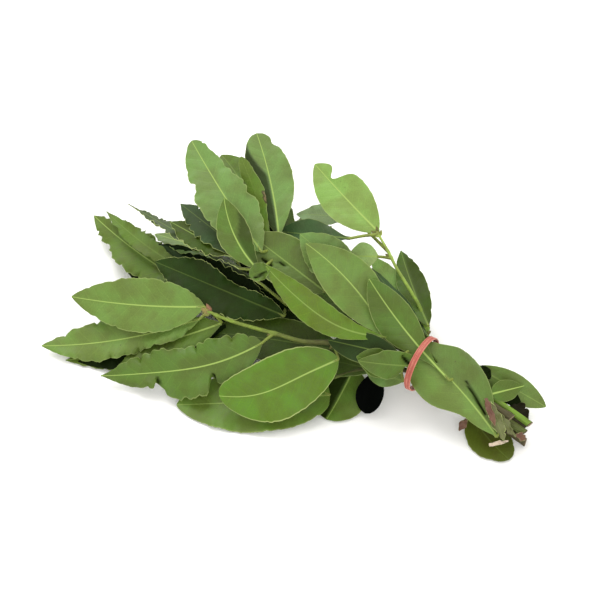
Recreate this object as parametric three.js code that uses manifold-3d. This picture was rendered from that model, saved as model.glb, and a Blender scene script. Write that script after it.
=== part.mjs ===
// Tied bunch of bay laurel sprigs, lying on a table. Millimetres, +Z up.
// The bunch lies along X with its cut stems towards +X, and its lowest leaves touch z = 0.
import * as THREE from 'three';
import { mergeVertices } from 'three/addons/utils/BufferGeometryUtils.js';
import Module from 'manifold-3d';

const wasm = await Module();
wasm.setup();

// Driving dimensions
const SIGHT_HEIGHT_DEG = 50; // the bunch is measured along a line of sight this far above the table
const SIGHT_DISTANCE = 1300; // from the eye to the middle of the bunch
const BUNCH_TURN_DEG = 28; // turns the measured bunch so that its length runs along X
const BUNCH_MIDDLE = [13, -27.5]; // the point of the table that becomes the origin
const BLADE_THICKNESS = 0.7; // leaf blade at its edge
const RIB_THICKNESS = 1.3; // leaf blade along its midrib
const FOOT_WIDTH = 2.0; // leaf blade where its stalk begins
const STALK_RADIUS = 0.95;
const STALK_SIDES = 5;
const TIP_WIDTH = 0.8;
const BLADE_STEP = 8.5; // length of a step along a blade
const BLADE_STRIPS = 4; // steps across a blade
const STEM_SIDES = 6;
const STEM_STEPS = 2; // steps between two points of a stem
const NECK_HEADING_DEG = -32; // the way the cut stems point, seen from above
const NECK_DIP_DEG = 17; // how far they slope down towards the table
const BAND_WIDTH = 4.2;
const BAND_THICKNESS = 1.3;
const BAND_ASIDE = -1.0; // the middle of the band is this far beside the stems
const BAND_ACROSS = 16; // half width of the bunch inside the band
const BAND_UP = 15; // half height of the bunch inside the band
const BAND_STEPS = 24;
const WELD_REACH = 0.03; // corners of a cut this close together become one
const TABLE_TRIM = 400; // side of the block that flattens what would sink into the table

const GREEN_LEAF = { color: 0x5f8a3c, roughness: 0.55, metalness: 0 };
const DARK_LEAF = { color: 0x2c4426, roughness: 0.5, metalness: 0 };
const RED_RUBBER = { color: 0xd9705f, roughness: 0.6, metalness: 0 };

const radians = THREE.MathUtils.degToRad;
const smooth = THREE.MathUtils.smoothstep;

// Sight frame: a place is given by how far it is seen across and up from the middle, and its height
const TOWARDS_EYE = new THREE.Vector3(
  0,
  -Math.cos(radians(SIGHT_HEIGHT_DEG)),
  Math.sin(radians(SIGHT_HEIGHT_DEG)),
);
const SIGHT_UP = new THREE.Vector3(
  0,
  Math.sin(radians(SIGHT_HEIGHT_DEG)),
  Math.cos(radians(SIGHT_HEIGHT_DEG)),
);
const EYE = TOWARDS_EYE.clone().multiplyScalar(SIGHT_DISTANCE);

function place([across, up, height]) {
  const seen = SIGHT_UP.clone().multiplyScalar(up);
  seen.x += across;
  const ray = seen.sub(EYE);
  return EYE.clone().addScaledVector(ray, (height - EYE.z) / ray.z);
}

const BAND_MIDDLE = [73.5, -37.5, 30]; // across, up, height

// Each sprig: its stem from the cut end to the bud, and its leaves. seat is its place in the band,
// tail its length past it, and on counts the points of the stem from the cut end
const SPRIGS = [
  {
    name: 'front_sprig',
    look: GREEN_LEAF,
    cutRadius: 2.2,
    tipRadius: 1.1,
    seat: [-3.9, 0.4],
    tail: 62,
    stem: [
      [30, -27, 36],
      [3, -25, 37],
      [-12, -21, 36],
      [-30, -16, 34],
      [-43, -12, 33],
      [-55, -7, 33],
    ],
    leaves: [
      { name: 'upper left', on: 8, base: [-57.5, -4, 34], tip: [-137, 2, 26], width: 32, sway: 2,
        tilt: 36, widest: 0.45, baseTaper: 0.75, tipTaper: 0.75, wave: 1.2, waves: 3 },
      { name: 'long left', on: 8, base: [-60.5, -11.5, 28], tip: [-155, -27.5, 5], width: 29,
        sway: 3.3, tilt: 22, widest: 0.44, baseTaper: 0.85, tipTaper: 0.8, wave: 1.6, waves: 3.5,
        arch: -3 },
      { name: 'left behind', on: 7.6, base: [-47, -14, 27], tip: [-140.5, -36.5, 0.2], width: 28,
        sway: 2, tilt: 20, widest: 0.45, baseTaper: 0.9, tipTaper: 0.85, wave: 1.4, waves: 3,
        arch: -3 },
      { name: 'wavy front', on: 5.2, base: [-23, -26, 31], tip: [-119.5, -45.5, 6], width: 35,
        sway: 6, swing: 1, tilt: 30, widest: 0.42, baseTaper: 0.75, tipTaper: 1, wave: 2.4,
        waves: 3.5, bites: [[1, 0.72, 0.3, 0.1], [1, 0.3, 0.3, 0.05]], arch: 0 },
      { name: 'broad front', on: 3.3, base: [23, -35.5, 33], tip: [-48.5, -57.5, 17], width: 37,
        sway: 5, swing: -1.5, tilt: 42, widest: 0.5, baseTaper: 0.55, tipTaper: 0.5, wave: 1.2,
        waves: 2 },
      { name: 'inner front', on: 3, base: [27, -31, 26], tip: [-56.5, -19, 17], width: 28,
        sway: -1, tilt: 20, widest: 0.5, baseTaper: 0.7, tipTaper: 0.7, wave: 1.2, waves: 2 },
      { name: 'under tie', on: 2.3, base: [61, -42.5, 36.5], tip: [34, -34, 51], width: 16.5,
        tilt: 30, widest: 0.55, baseTaper: 0.6, tipTaper: 0.8, wave: 0.8, waves: 2 },
      { name: 'under tie low', on: 2.3, base: [62, -48.5, 26], tip: [39.5, -42.5, 23], width: 13,
        tilt: 30, widest: 0.5, baseTaper: 0.7, tipTaper: 0.8, wave: 0.6, waves: 2 },
    ],
  },
  {
    name: 'low_sprig',
    look: GREEN_LEAF,
    cutRadius: 1.9,
    tipRadius: 1.1,
    seat: [-6.3, -3.7],
    tail: 60,
    stem: [
      [47, -41, 21],
      [27, -44.5, 14],
      [9, -50.5, 9],
      [-6, -55, 7],
    ],
    leaves: [
      { name: 'low long', on: 5.2, base: [18, -57, 9], tip: [-74, -63, 1.5], width: 40, sway: 1,
        tilt: 14, widest: 0.46, baseTaper: 0.38, tipTaper: 0.65, wave: 1.2, waves: 3 },
      { name: 'low short', on: 3.6, base: [32.5, -41, 10], tip: [16, -72, 0.2], width: 32,
        arch: -2, tilt: 8, widest: 0.5, baseTaper: 0.5, tipTaper: 0.5, wave: 0.8, waves: 2 },
      { name: 'low dark', on: 2.8, base: [48.5, -41, 20], tip: [39, -68, 4], width: 16, sway: -1,
        tilt: 8, widest: 0.6, baseTaper: 0.6, tipTaper: 0.5, wave: 0.5, waves: 2 },
      { name: 'inner low', on: 3, base: [44, -42, 20], tip: [13, -35, 8], width: 19, tilt: 8,
        widest: 0.5, baseTaper: 0.6, tipTaper: 0.6, wave: 0.5, waves: 2 },
      { name: 'neck low', on: 0.7, base: [103, -69, 4], tip: [125.5, -96, 0.5], width: 24,
        sway: -1, tilt: 0, widest: 0.5, baseTaper: 0.5, tipTaper: 0.5, wave: 0.1, waves: 1,
        arch: -1.5, fold: 0 },
    ],
  },
  {
    name: 'dark_sprig',
    look: DARK_LEAF,
    cutRadius: 2.4,
    tipRadius: 1.1,
    seat: [0, -6],
    tail: 72,
    stem: [
      [30, -24, 25],
      [6, -11, 26],
      [-18, 0, 27],
      [-42, 8.5, 26],
      [-60, 15.5, 26],
    ],
    leaves: [
      { name: 'dark broad', on: 4.6, base: [-9.5, -9.5, 32], tip: [-87, 23, 33], width: 31,
        tilt: 30, widest: 0.5, baseTaper: 0.75, tipTaper: 0.8, wave: 1.6, waves: 3,
        bites: [[-1, 0.38, 0.6, 0.26]] },
      { name: 'dark under', on: 6.4, base: [-50.5, 0, 20], tip: [-103, 16, 9], width: 20,
        tilt: 25, widest: 0.5, baseTaper: 0.8, tipTaper: 0.9, wave: 1, waves: 2.5, step: 13 },
      { name: 'dark behind', on: 4.8, base: [-17, -4, 28], tip: [-92.5, 32.5, 24], width: 27,
        tilt: 30, widest: 0.5, baseTaper: 0.8, tipTaper: 0.8, wave: 1, waves: 2.5, step: 11 },
      { name: 'far left', on: 7, base: [-71, 11.5, 21], tip: [-123.5, 50.5, 10], width: 26,
        sway: 2, tilt: 30, widest: 0.45, baseTaper: 0.8, tipTaper: 0.8, wave: 1.4, waves: 2.5,
        bites: [[1, 0.72, 0.35, 0.05], [-1, 0.8, 0.5, 0.06]] },
      { name: 'far left upper', on: 6.8, base: [-69.5, 18, 31], tip: [-116, 53, 20], width: 11,
        sway: 2, tilt: 30, widest: 0.5, baseTaper: 0.8, tipTaper: 0.9, wave: 1.2, waves: 2.5,
        step: 13 },
      { name: 'edge long', on: 4.4, base: [-23, 9.5, 44], tip: [-103, 57.5, 36], width: 9,
        tilt: -30, widest: 0.5, baseTaper: 0.8, tipTaper: 0.9, wave: 0.8, waves: 3, step: 13 },
      { name: 'inner dark', on: 3.6, base: [3.5, -3.5, 33], tip: [-55, 19, 23], width: 26,
        tilt: 30, widest: 0.5, baseTaper: 0.8, tipTaper: 0.9, wave: 1, waves: 2, step: 13 },
      { name: 'back low left', on: 4, base: [-18, 9, 16], tip: [-62, 46, 0.2], width: 30,
        tilt: 0, widest: 0.5, baseTaper: 0.75, tipTaper: 0.9, wave: 1.4, waves: 2.5, step: 13 },
      { name: 'under middle', on: 3.4, base: [6, -18, 16], tip: [-60, -0.6, 0.2], width: 30,
        tilt: 5, widest: 0.5, baseTaper: 0.75, tipTaper: 0.9, wave: 1.2, waves: 2.5, step: 13 },
      { name: 'back left mid', on: 5.4, base: [-38.5, 25, 35], tip: [-87, 39.5, 17], width: 24,
        tilt: -20, widest: 0.5, baseTaper: 0.7, tipTaper: 0.8, wave: 1, waves: 2.5, step: 13 },
    ],
  },
  {
    name: 'middle_sprig',
    look: DARK_LEAF,
    cutRadius: 2.3,
    tipRadius: 1.1,
    seat: [1, 0.1],
    tail: 70,
    stem: [
      [31, -13, 47],
      [3, 2.5, 54],
      [-18, 17, 60],
      [-37, 30, 64],
    ],
    leaves: [
      { name: 'edge grey', on: 5, base: [-36, 19, 55], tip: [-98, 54.5, 44], width: 11,
        tilt: -20, widest: 0.5, baseTaper: 0.8, tipTaper: 0.9, wave: 1, waves: 3, step: 13 },
      { name: 'pale middle', on: 5.4, base: [-41, 26.5, 59], tip: [-78, 47, 53], width: 17,
        tilt: 10, widest: 0.5, baseTaper: 0.8, tipTaper: 0.9, wave: 1, waves: 2, step: 13 },
      { name: 'blue grey', on: 6, base: [-35, 29, 62], tip: [-71.5, 57.5, 56], width: 20,
        tilt: 20, widest: 0.45, baseTaper: 0.8, tipTaper: 0.8, wave: 1, waves: 2 },
    ],
  },
  {
    name: 'tall_sprig',
    look: GREEN_LEAF,
    cutRadius: 2.4,
    tipRadius: 1.1,
    seat: [6, -2],
    tail: 68,
    stem: [
      [51, -17, 38],
      [24, 5, 52],
      [1, 19, 60],
      [-14.5, 30, 64],
    ],
    leaves: [
      { name: 'tall left', on: 6, base: [-23, 29, 70], tip: [-65, 95.5, 92], width: 32, tilt: 40,
        widest: 0.5, baseTaper: 0.75, tipTaper: 0.55, sway: 1, wave: 1.2, waves: 2,
        bites: [[1, 0.68, 0.25, 0.04], [-1, 0.86, 0.22, 0.12], [-1, 0.42, 0.2, 0.05]] },
      { name: 'tall front', on: 5.8, base: [-24, 17, 68], tip: [-45.5, 61, 88], width: 19,
        tilt: 50, widest: 0.55, baseTaper: 0.9, tipTaper: 0.8, sway: 4, wave: 0.8, waves: 2 },
      { name: 'tall right', on: 5.2, base: [-12.5, 37, 68], tip: [-26, 100, 94], width: 27,
        tilt: 40, widest: 0.55, baseTaper: 0.9, tipTaper: 0.45, sway: -2, wave: 1, waves: 2,
        bites: [[-1, 0.88, 0.25, 0.04]] },
      { name: 'tall brown', on: 5.4, base: [-23, 36, 60], tip: [-47, 87, 73], width: 26,
        tilt: 40, widest: 0.6, baseTaper: 0.8, tipTaper: 0.7, sway: -4, wave: 0.8, waves: 2 },
      { name: 'tall shade', on: 5.3, base: [-14, 36, 66], tip: [-32.5, 84, 81], width: 13,
        tilt: 40, widest: 0.5, baseTaper: 0.8, tipTaper: 0.8, wave: 0.6, waves: 2 },
      { name: 'pale centre', on: 4.2, base: [15, 5, 57.5], tip: [-30, 39.5, 72], width: 30,
        tilt: 30, widest: 0.5, baseTaper: 0.7, tipTaper: 0.8, wave: 1.2, waves: 2 },
      { name: 'inner right', on: 3.2, base: [41, -8.5, 40], tip: [-7, 14.5, 44], width: 27,
        tilt: 20, widest: 0.5, baseTaper: 0.7, tipTaper: 0.8, wave: 1, waves: 2 },
      { name: 'back low', on: 3.6, base: [18, 15, 30], tip: [-5, 47.5, 0.2], width: 32, tilt: 0,
        widest: 0.5, baseTaper: 0.75, tipTaper: 0.9, wave: 1.4, waves: 2.5, step: 13 },
      { name: 'back mid', on: 4.6, base: [0, 24, 52], tip: [-40, 71.5, 40], width: 30, tilt: -20,
        widest: 0.5, baseTaper: 0.75, tipTaper: 0.9, wave: 1.4, waves: 2.5, step: 13 },
      { name: 'back centre', on: 4.4, base: [9.5, 23, 44], tip: [3.5, 51.5, 24], width: 28,
        tilt: -20, widest: 0.5, baseTaper: 0.75, tipTaper: 0.9, wave: 1.4, waves: 2.5,
        step: 13 },
      { name: 'back high', on: 5, base: [-6, 29, 56], tip: [-23, 74.5, 58], width: 20, tilt: -10,
        widest: 0.5, baseTaper: 0.75, tipTaper: 0.9, wave: 1.2, waves: 2, step: 13 },
    ],
  },
  {
    name: 'top_sprig',
    look: GREEN_LEAF,
    cutRadius: 2.1,
    tipRadius: 1.1,
    seat: [0, 6.2],
    tail: 61,
    stem: [
      [54.5, -20, 45],
      [38.5, -3, 51],
      [25, 9, 55],
    ],
    leaves: [
      { name: 'bright curved', on: 3, base: [53, -22, 45], tip: [-20.5, 20.5, 80], width: 17,
        tilt: 40, widest: 0.55, baseTaper: 0.9, tipTaper: 0.7, sway: 9, swing: 1, wave: 1,
        waves: 2 },
      { name: 'top broad', on: 3.2, base: [51.5, -20.5, 45], tip: [3.5, 34, 85], width: 29,
        tilt: 32, sway: -4, widest: 0.5, baseTaper: 0.75, tipTaper: 0.8, wave: 1, waves: 2 },
      { name: 'top behind', on: 4.4, base: [39, 6, 57], tip: [0, 39.5, 80], width: 25, tilt: 28,
        widest: 0.55, baseTaper: 0.75, tipTaper: 0.8, wave: 0.8, waves: 2 },
      { name: 'top right', on: 1.25, base: [89.5, -48, 34], tip: [41.5, 12.5, 75], width: 24,
        tilt: 20, sway: 0, arch: -8, fold: -8, widest: 0.62, baseTaper: 1.6, tipTaper: 0.7,
        wave: 0.5, waves: 2, curl: -0.03 },
      { name: 'fork dark', on: 2.3, base: [61, -34, 42], tip: [17, -24, 42.5], width: 18,
        tilt: 35, widest: 0.5, baseTaper: 0.8, tipTaper: 0.6, wave: 1, waves: 2,
        bites: [[-1, 0.93, 0.7, 0.05]] },
      { name: 'neck front', on: 0.06, base: [118, -82, 15], tip: [69, -27.5, 40], width: 44,
        tilt: 30, roll: -3, sway: -2.2, arch: 1.2, widest: 0.62, baseTaper: 0.75, tipTaper: 0.5,
        wave: 0.5, waves: 1.5, curl: -0.045, bites: [[-1, 0.9, 0.3, 0.12], [1, 0.3, 0.4, 0.2]] },
    ],
  },
  {
    name: 'right_sprig',
    look: GREEN_LEAF,
    cutRadius: 2.0,
    tipRadius: 0.8,
    seat: [5.6, 3.6],
    tail: 71,
    stem: [
      [75.5, -18, 38],
      [72.5, -6, 46],
      [66, 6, 55],
      [58, 19, 64],
      [53, 29, 70],
      [47, 39.5, 76],
    ],
    leaves: [
      { name: 'strip right', on: 2.75, base: [77, -22, 38.5], tip: [43, 19, 65], width: 11,
        tilt: -20, arch: 0, widest: 0.5, baseTaper: 0.9, tipTaper: 0.9, wave: 0.5, waves: 2 },
      { name: 'strip behind', on: 3, base: [73, -13, 39], tip: [42.5, 26.5, 50], width: 16,
        tilt: 5, widest: 0.5, baseTaper: 0.8, tipTaper: 0.8, wave: 0.5, waves: 2 },
      { name: 'top bright', on: 8, base: [47, 41, 77], tip: [9, 81.5, 88], width: 28, sway: 0.5,
        tilt: 40, widest: 0.5, baseTaper: 0.7, tipTaper: 0.7, wave: 0.8, waves: 2,
        bites: [[-1, 0.76, 0.85, 0.075]] },
      { name: 'blue dark', on: 8, base: [30, 37, 74], tip: [-12, 41, 60], width: 18, tilt: 30,
        widest: 0.6, baseTaper: 0.9, tipTaper: 0.7, wave: 1, waves: 2 },
      { name: 'small light', on: 6.6, base: [47, 26, 66], tip: [29, 26.5, 60], width: 16,
        tilt: 35, widest: 0.5, baseTaper: 0.7, tipTaper: 0.8, wave: 0.5, waves: 1.5 },
      { name: 'olive right', on: 3.4, base: [77, -15.5, 44], tip: [60.5, 29.5, 54], width: 17,
        sway: 0.8, tilt: 30, widest: 0.5, baseTaper: 0.7, tipTaper: 0.8, wave: 0.8, waves: 2 },
      { name: 'grey back', on: 7, base: [31, 50, 66], tip: [-2, 51.5, 54], width: 14, tilt: 20,
        widest: 0.5, baseTaper: 0.8, tipTaper: 0.8, wave: 0.8, waves: 2, step: 13 },
      { name: 'neck right', on: 1.5, base: [106, -40, 25], tip: [147.5, -64, 8], width: 17,
        tilt: 45, widest: 0.5, baseTaper: 0.7, tipTaper: 0.7, wave: 0.6, waves: 1.5 },
      { name: 'neck right low', on: 1.1, base: [114.5, -56.5, 24.5], tip: [134.5, -51.5, 20],
        width: 12.5, tilt: 34, widest: 0.4, baseTaper: 0.7, tipTaper: 1, wave: 0.5, waves: 1.5 },
      { name: 'back low right', on: 3.2, base: [60, -12, 28], tip: [35, 20, 0.2], width: 26,
        tilt: 0, widest: 0.5, baseTaper: 0.75, tipTaper: 0.9, wave: 1.2, waves: 2.5, step: 13 },
      { name: 'back right', on: 3.1, base: [74.5, -17, 34], tip: [63, 21.5, 28], width: 18,
        tilt: 0, widest: 0.5, baseTaper: 0.75, tipTaper: 0.9, wave: 1, waves: 2, step: 13 },
    ],
  },
];

// Defaults for what a leaf doesn't say: lengths in mm, angles in degrees, places as shares of the blade
const PLAIN_LEAF = {
  arch: 0, // bow of the midrib out of the blade, towards its upper side
  sway: 0, // bow of the midrib within the blade, towards the leaf's left
  swing: 0, // S shape of the midrib within the blade
  tilt: 30, // how far the upper side leans from straight up towards the eye
  roll: 0, // turn about the midrib
  twist: 0, // turn of the tip against the base
  fold: 6, // rise of both halves from the midrib
  curl: 0, // curvature across the blade, in 1/mm, negative for edges that hang
  widest: 0.5, // where the blade is widest
  baseTaper: 0.8, // below 1 for a full base, above 1 for a slender one
  tipTaper: 0.8,
  wave: 1, // height of the waves along the margin
  waves: 2.5, // how many of them
  step: BLADE_STEP,
  bites: [], // [side, place, depth, length] of each piece missing from the margin
};

function sightFrame(base, tip, leaf) {
  const along = tip.clone().sub(base);
  const length = along.length();
  along.normalize();
  const lean = radians(leaf.tilt);
  const face = new THREE.Vector3(0, -Math.sin(lean), Math.cos(lean));
  const up = face.addScaledVector(along, -face.dot(along)).normalize();
  up.applyAxisAngle(along, radians(leaf.roll));
  const left = up.clone().cross(along);
  return { along, length, up, left };
}

// Middle surface of a blade: u runs from base to tip, v from the right edge at -1 to the left at 1
function bladeSurface(leaf, phase) {
  const base = place(leaf.base);
  const tip = place(leaf.tip);
  const { along, length, up, left } = sightFrame(base, tip, leaf);
  const crown = Math.log(0.5) / Math.log(leaf.widest);

  function rib(u) {
    const bow = 4 * u * (1 - u);
    return base
      .clone()
      .addScaledVector(along, length * u)
      .addScaledVector(up, leaf.arch * bow)
      .addScaledVector(left, leaf.sway * bow + leaf.swing * Math.sin(2 * Math.PI * u));
  }

  function halfWidth(u, v) {
    const taper = THREE.MathUtils.lerp(leaf.baseTaper, leaf.tipTaper, u);
    let share = Math.sin(Math.PI * Math.min(Math.max(u, 0.0001), 0.9999) ** crown) ** taper;
    for (const [side, where, depth, span] of leaf.bites) {
      if (side * v > 0) share *= 1 - depth * Math.exp(-(((u - where) / span) ** 2));
    }
    const blade = (leaf.width / 2) * share;
    const floor = THREE.MathUtils.lerp(FOOT_WIDTH, TIP_WIDTH, smooth(u, 0, 0.3)) / 2;
    return Math.max(blade, floor);
  }

  return function surface(u, v) {
    const turn = radians(leaf.twist) * (u - 0.5);
    const side = left.clone().multiplyScalar(Math.cos(turn)).addScaledVector(up, Math.sin(turn));
    const rise = up.clone().multiplyScalar(Math.cos(turn)).addScaledVector(left, -Math.sin(turn));
    const reach = v * halfWidth(u, v);
    const bend = leaf.curl * reach;
    const flat = Math.abs(bend) > 0.001 ? Math.sin(bend) / leaf.curl : reach;
    const hang = Math.abs(bend) > 0.001 ? (1 - Math.cos(bend)) / leaf.curl : 0;
    const beat = Math.sin(2 * Math.PI * leaf.waves * u + phase + (v > 0 ? 0 : 2.2));
    const ripple = leaf.wave * beat * v * v * Math.min(1, 4 * u * (1 - u) * 1.4);
    return rib(u)
      .addScaledVector(side, flat * Math.cos(radians(leaf.fold)))
      .addScaledVector(rise, hang + Math.abs(flat) * Math.sin(radians(leaf.fold)) + ripple);
  };
}

function surfaceNormal(surface, u, v) {
  const step = 0.01;
  const lengthwise = surface(u + step, v).sub(surface(u - step, v));
  const sidewise = surface(u, v + step).sub(surface(u, v - step));
  return lengthwise.cross(sidewise).normalize();
}

// Rows stand closer at both ends of a blade, and at each bite in its margin
function rowPlaces(leaf, length) {
  const steps = Math.max(4, Math.round(length / leaf.step));
  const places = Array.from({ length: steps + 1 }, (_, i) => {
    const even = i / steps;
    return THREE.MathUtils.lerp(even, (1 - Math.cos(Math.PI * even)) / 2, 0.5);
  });
  const apart = 0.35 / steps;
  for (const [, where, , span] of leaf.bites) {
    for (const extra of [where - 1.6 * span, where, where + 1.6 * span]) {
      if (extra < 1 && places.every((u) => Math.abs(u - extra) > apart)) places.push(extra);
    }
  }
  return places.sort((p, q) => p - q);
}

// A blade as one closed shell, a grid of points on each face joined round the margin, on a straight stalk
function leafSolid(leaf, root, phase) {
  const surface = bladeSurface(leaf, phase);
  const foot = surface(0, 0);
  const points = [];
  const rows = [];
  const addRow = (middle, normal, thickness) => {
    const row = { upper: [], lower: [] };
    middle.forEach((point, column) => {
      row.upper.push(points.push(point.clone().addScaledVector(normal[column], thickness[column] / 2)) - 1);
      row.lower.push(points.push(point.clone().addScaledVector(normal[column], -thickness[column] / 2)) - 1);
    });
    rows.push(row);
  };
  const shares = Array.from({ length: BLADE_STRIPS + 1 }, (_, i) => (2 * i) / BLADE_STRIPS - 1);

  for (const u of rowPlaces(leaf, surface(1, 0).distanceTo(foot))) {
    const rib = THREE.MathUtils.lerp(RIB_THICKNESS, BLADE_THICKNESS, u);
    addRow(
      shares.map((v) => surface(u, v)),
      shares.map((v) => surfaceNormal(surface, THREE.MathUtils.clamp(u, 0.02, 0.98), v)),
      shares.map((v) => THREE.MathUtils.lerp(rib, BLADE_THICKNESS, Math.min(1, Math.abs(v) * 2))),
    );
  }

  const faces = [];
  const last = BLADE_STRIPS;
  for (let i = 0; i + 1 < rows.length; i += 1) {
    const near = rows[i];
    const far = rows[i + 1];
    for (let j = 0; j < last; j += 1) {
      faces.push(near.upper[j], far.upper[j], far.upper[j + 1]);
      faces.push(near.upper[j], far.upper[j + 1], near.upper[j + 1]);
      faces.push(near.lower[j], far.lower[j + 1], far.lower[j]);
      faces.push(near.lower[j], near.lower[j + 1], far.lower[j + 1]);
    }
    faces.push(near.upper[0], near.lower[0], far.lower[0]);
    faces.push(near.upper[0], far.lower[0], far.upper[0]);
    faces.push(near.upper[last], far.lower[last], near.lower[last]);
    faces.push(near.upper[last], far.upper[last], far.lower[last]);
  }
  const start = rows[0];
  const end = rows[rows.length - 1];
  for (let j = 0; j < last; j += 1) {
    faces.push(start.upper[j], start.upper[j + 1], start.lower[j + 1]);
    faces.push(start.upper[j], start.lower[j + 1], start.lower[j]);
    faces.push(end.upper[j], end.lower[j + 1], end.upper[j + 1]);
    faces.push(end.upper[j], end.lower[j], end.lower[j + 1]);
  }
  return solidFrom(points, faces).add(stalkSolid(root, foot));
}

// A stalk: a straight rod from the middle of the stem to just inside the foot of the blade
function stalkSolid(root, foot) {
  const heading = foot.clone().sub(root).normalize();
  const end = foot.clone().addScaledVector(heading, STALK_RADIUS / 2);
  const rings = [root, end].map((centre) => ringAround(centre, heading, STALK_RADIUS, STALK_SIDES));
  return ringSolid(rings, false);
}

// Points round a centre, in the plane across the heading
function ringAround(centre, heading, radius, sides) {
  const aside = new THREE.Vector3(0, 0, 1);
  const side = aside.clone().cross(heading).normalize();
  const up = heading.clone().cross(side).normalize();
  return Array.from({ length: sides }, (_, j) => {
    const angle = (2 * Math.PI * j) / sides;
    return centre
      .clone()
      .addScaledVector(side, radius * Math.cos(angle))
      .addScaledVector(up, radius * Math.sin(angle));
  });
}

// Rings of equal count joined one after another; a closed run of rings joins its last to its first
function ringSolid(rings, closed) {
  const points = rings.flat();
  const sides = rings[0].length;
  const faces = [];
  const runs = closed ? rings.length : rings.length - 1;
  for (let i = 0; i < runs; i += 1) {
    const near = i * sides;
    const far = ((i + 1) % rings.length) * sides;
    for (let j = 0; j < sides; j += 1) {
      const k = (j + 1) % sides;
      faces.push(near + j, near + k, far + k, near + j, far + k, far + j);
    }
  }
  if (!closed) {
    const top = (rings.length - 1) * sides;
    for (let j = 1; j + 1 < sides; j += 1) {
      faces.push(0, j + 1, j, top, top + j, top + j + 1);
    }
  }
  return solidFrom(points, faces);
}

function solidFrom(points, faces) {
  const vertProperties = new Float32Array(points.flatMap((point) => point.toArray()));
  const triVerts = new Uint32Array(faces);
  return new wasm.Manifold(new wasm.Mesh({ numProp: 3, vertProperties, triVerts }));
}

// Directions at the neck of the bunch: along the stems, across them and up
function neckFrame() {
  const heading = radians(NECK_HEADING_DEG);
  const dip = radians(NECK_DIP_DEG);
  const level = new THREE.Vector3(Math.cos(heading), Math.sin(heading), 0);
  const across = new THREE.Vector3(-Math.sin(heading), Math.cos(heading), 0);
  const up = new THREE.Vector3(0, 0, 1);
  const outward = level.clone().multiplyScalar(Math.cos(dip)).addScaledVector(up, -Math.sin(dip));
  return { level, across, up, outward };
}

// A stem runs from its cut end through its seat in the band to the points of its leafy length
function stemCurve(sprig) {
  const { across, up, outward } = neckFrame();
  const seat = place(BAND_MIDDLE)
    .addScaledVector(across, sprig.seat[0])
    .addScaledVector(up, sprig.seat[1]);
  const cut = seat.clone().addScaledVector(outward, sprig.tail);
  const middle = seat.clone().addScaledVector(outward, sprig.tail / 2);
  return new THREE.CatmullRomCurve3([cut, middle, seat, ...sprig.stem.map(place)], false, 'catmullrom', 0.5);
}

// A stem tapers from its cut end and closes in a pointed bud
function stemSolid(sprig) {
  const curve = stemCurve(sprig);
  const spans = (curve.points.length - 1) * STEM_STEPS;
  const budSteps = [
    [1.0, 1.35],
    [2.4, 1.2],
    [4.2, 0.35],
  ];
  const rings = [];
  for (let i = 0; i <= spans; i += 1) {
    const t = i / spans;
    const radius = THREE.MathUtils.lerp(sprig.cutRadius, sprig.tipRadius, t);
    rings.push(ringAround(curve.getPoint(t), curve.getTangent(t), radius, STEM_SIDES));
  }
  const tip = curve.getPoint(1);
  const heading = curve.getTangent(1);
  for (const [ahead, swell] of budSteps) {
    const centre = tip.clone().addScaledVector(heading, ahead);
    rings.push(ringAround(centre, heading, sprig.tipRadius * swell, STEM_SIDES));
  }
  return ringSolid(rings, false);
}

function tableBlock() {
  const block = new THREE.BoxGeometry(2 * TABLE_TRIM, 2 * TABLE_TRIM, TABLE_TRIM);
  block.translate(0, 0, -TABLE_TRIM / 2);
  block.deleteAttribute('normal');
  block.deleteAttribute('uv');
  const welded = mergeVertices(block);
  return new wasm.Manifold(
    new wasm.Mesh({
      numProp: 3,
      vertProperties: new Float32Array(welded.attributes.position.array),
      triVerts: new Uint32Array(welded.index.array),
    }),
  );
}

// The one large body: crumbs are dropped, and a hollow sealed between leaves is filled
function mainBody(solid) {
  return solid.decompose().reduce((best, part) => (part.volume() > best.volume() ? part : best));
}

function sprigSolid(sprig, table) {
  const curve = stemCurve(sprig);
  const spans = curve.points.length - 1;
  let solid = stemSolid(sprig);
  sprig.leaves.forEach((given, index) => {
    const leaf = { ...PLAIN_LEAF, ...given };
    solid = solid.add(leafSolid(leaf, curve.getPoint(leaf.on / spans), 1.7 * index));
  });
  return mainBody(solid.subtract(table).simplify(WELD_REACH));
}

// The band is a flat strap round the neck of the bunch, upright, across the stems
function bandSolid() {
  const middle = place(BAND_MIDDLE);
  const { level, across, up } = neckFrame();
  const corners = [
    [0, -1],
    [0, 1],
    [1, 1],
    [1, -1],
  ];
  const rings = Array.from({ length: BAND_STEPS }, (_, i) => {
    const angle = (2 * Math.PI * i) / BAND_STEPS;
    return corners.map(([out, side]) => {
      const grow = out * BAND_THICKNESS;
      return middle
        .clone()
        .addScaledVector(across, BAND_ASIDE + (BAND_ACROSS + grow) * Math.cos(angle))
        .addScaledVector(up, (BAND_UP + grow) * Math.sin(angle))
        .addScaledVector(level, (side * BAND_WIDTH) / 2);
    });
  });
  return ringSolid(rings, true);
}

function meshOf(name, solid, look) {
  const { vertProperties, triVerts } = solid.getMesh();
  const geometry = new THREE.BufferGeometry();
  geometry.setAttribute('position', new THREE.BufferAttribute(new Float32Array(vertProperties), 3));
  geometry.setIndex(new THREE.BufferAttribute(new Uint32Array(triVerts), 1));
  geometry.computeVertexNormals();
  const mesh = new THREE.Mesh(geometry, new THREE.MeshStandardMaterial(look));
  mesh.name = name;
  return mesh;
}

const bunch = new THREE.Group();
const table = tableBlock();
for (const sprig of SPRIGS) {
  bunch.add(meshOf(sprig.name, sprigSolid(sprig, table), sprig.look));
}
bunch.add(meshOf('rubber_band', bandSolid(), RED_RUBBER));
bunch.rotation.z = radians(BUNCH_TURN_DEG);
bunch.position.set(-BUNCH_MIDDLE[0], -BUNCH_MIDDLE[1], 0);

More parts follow.
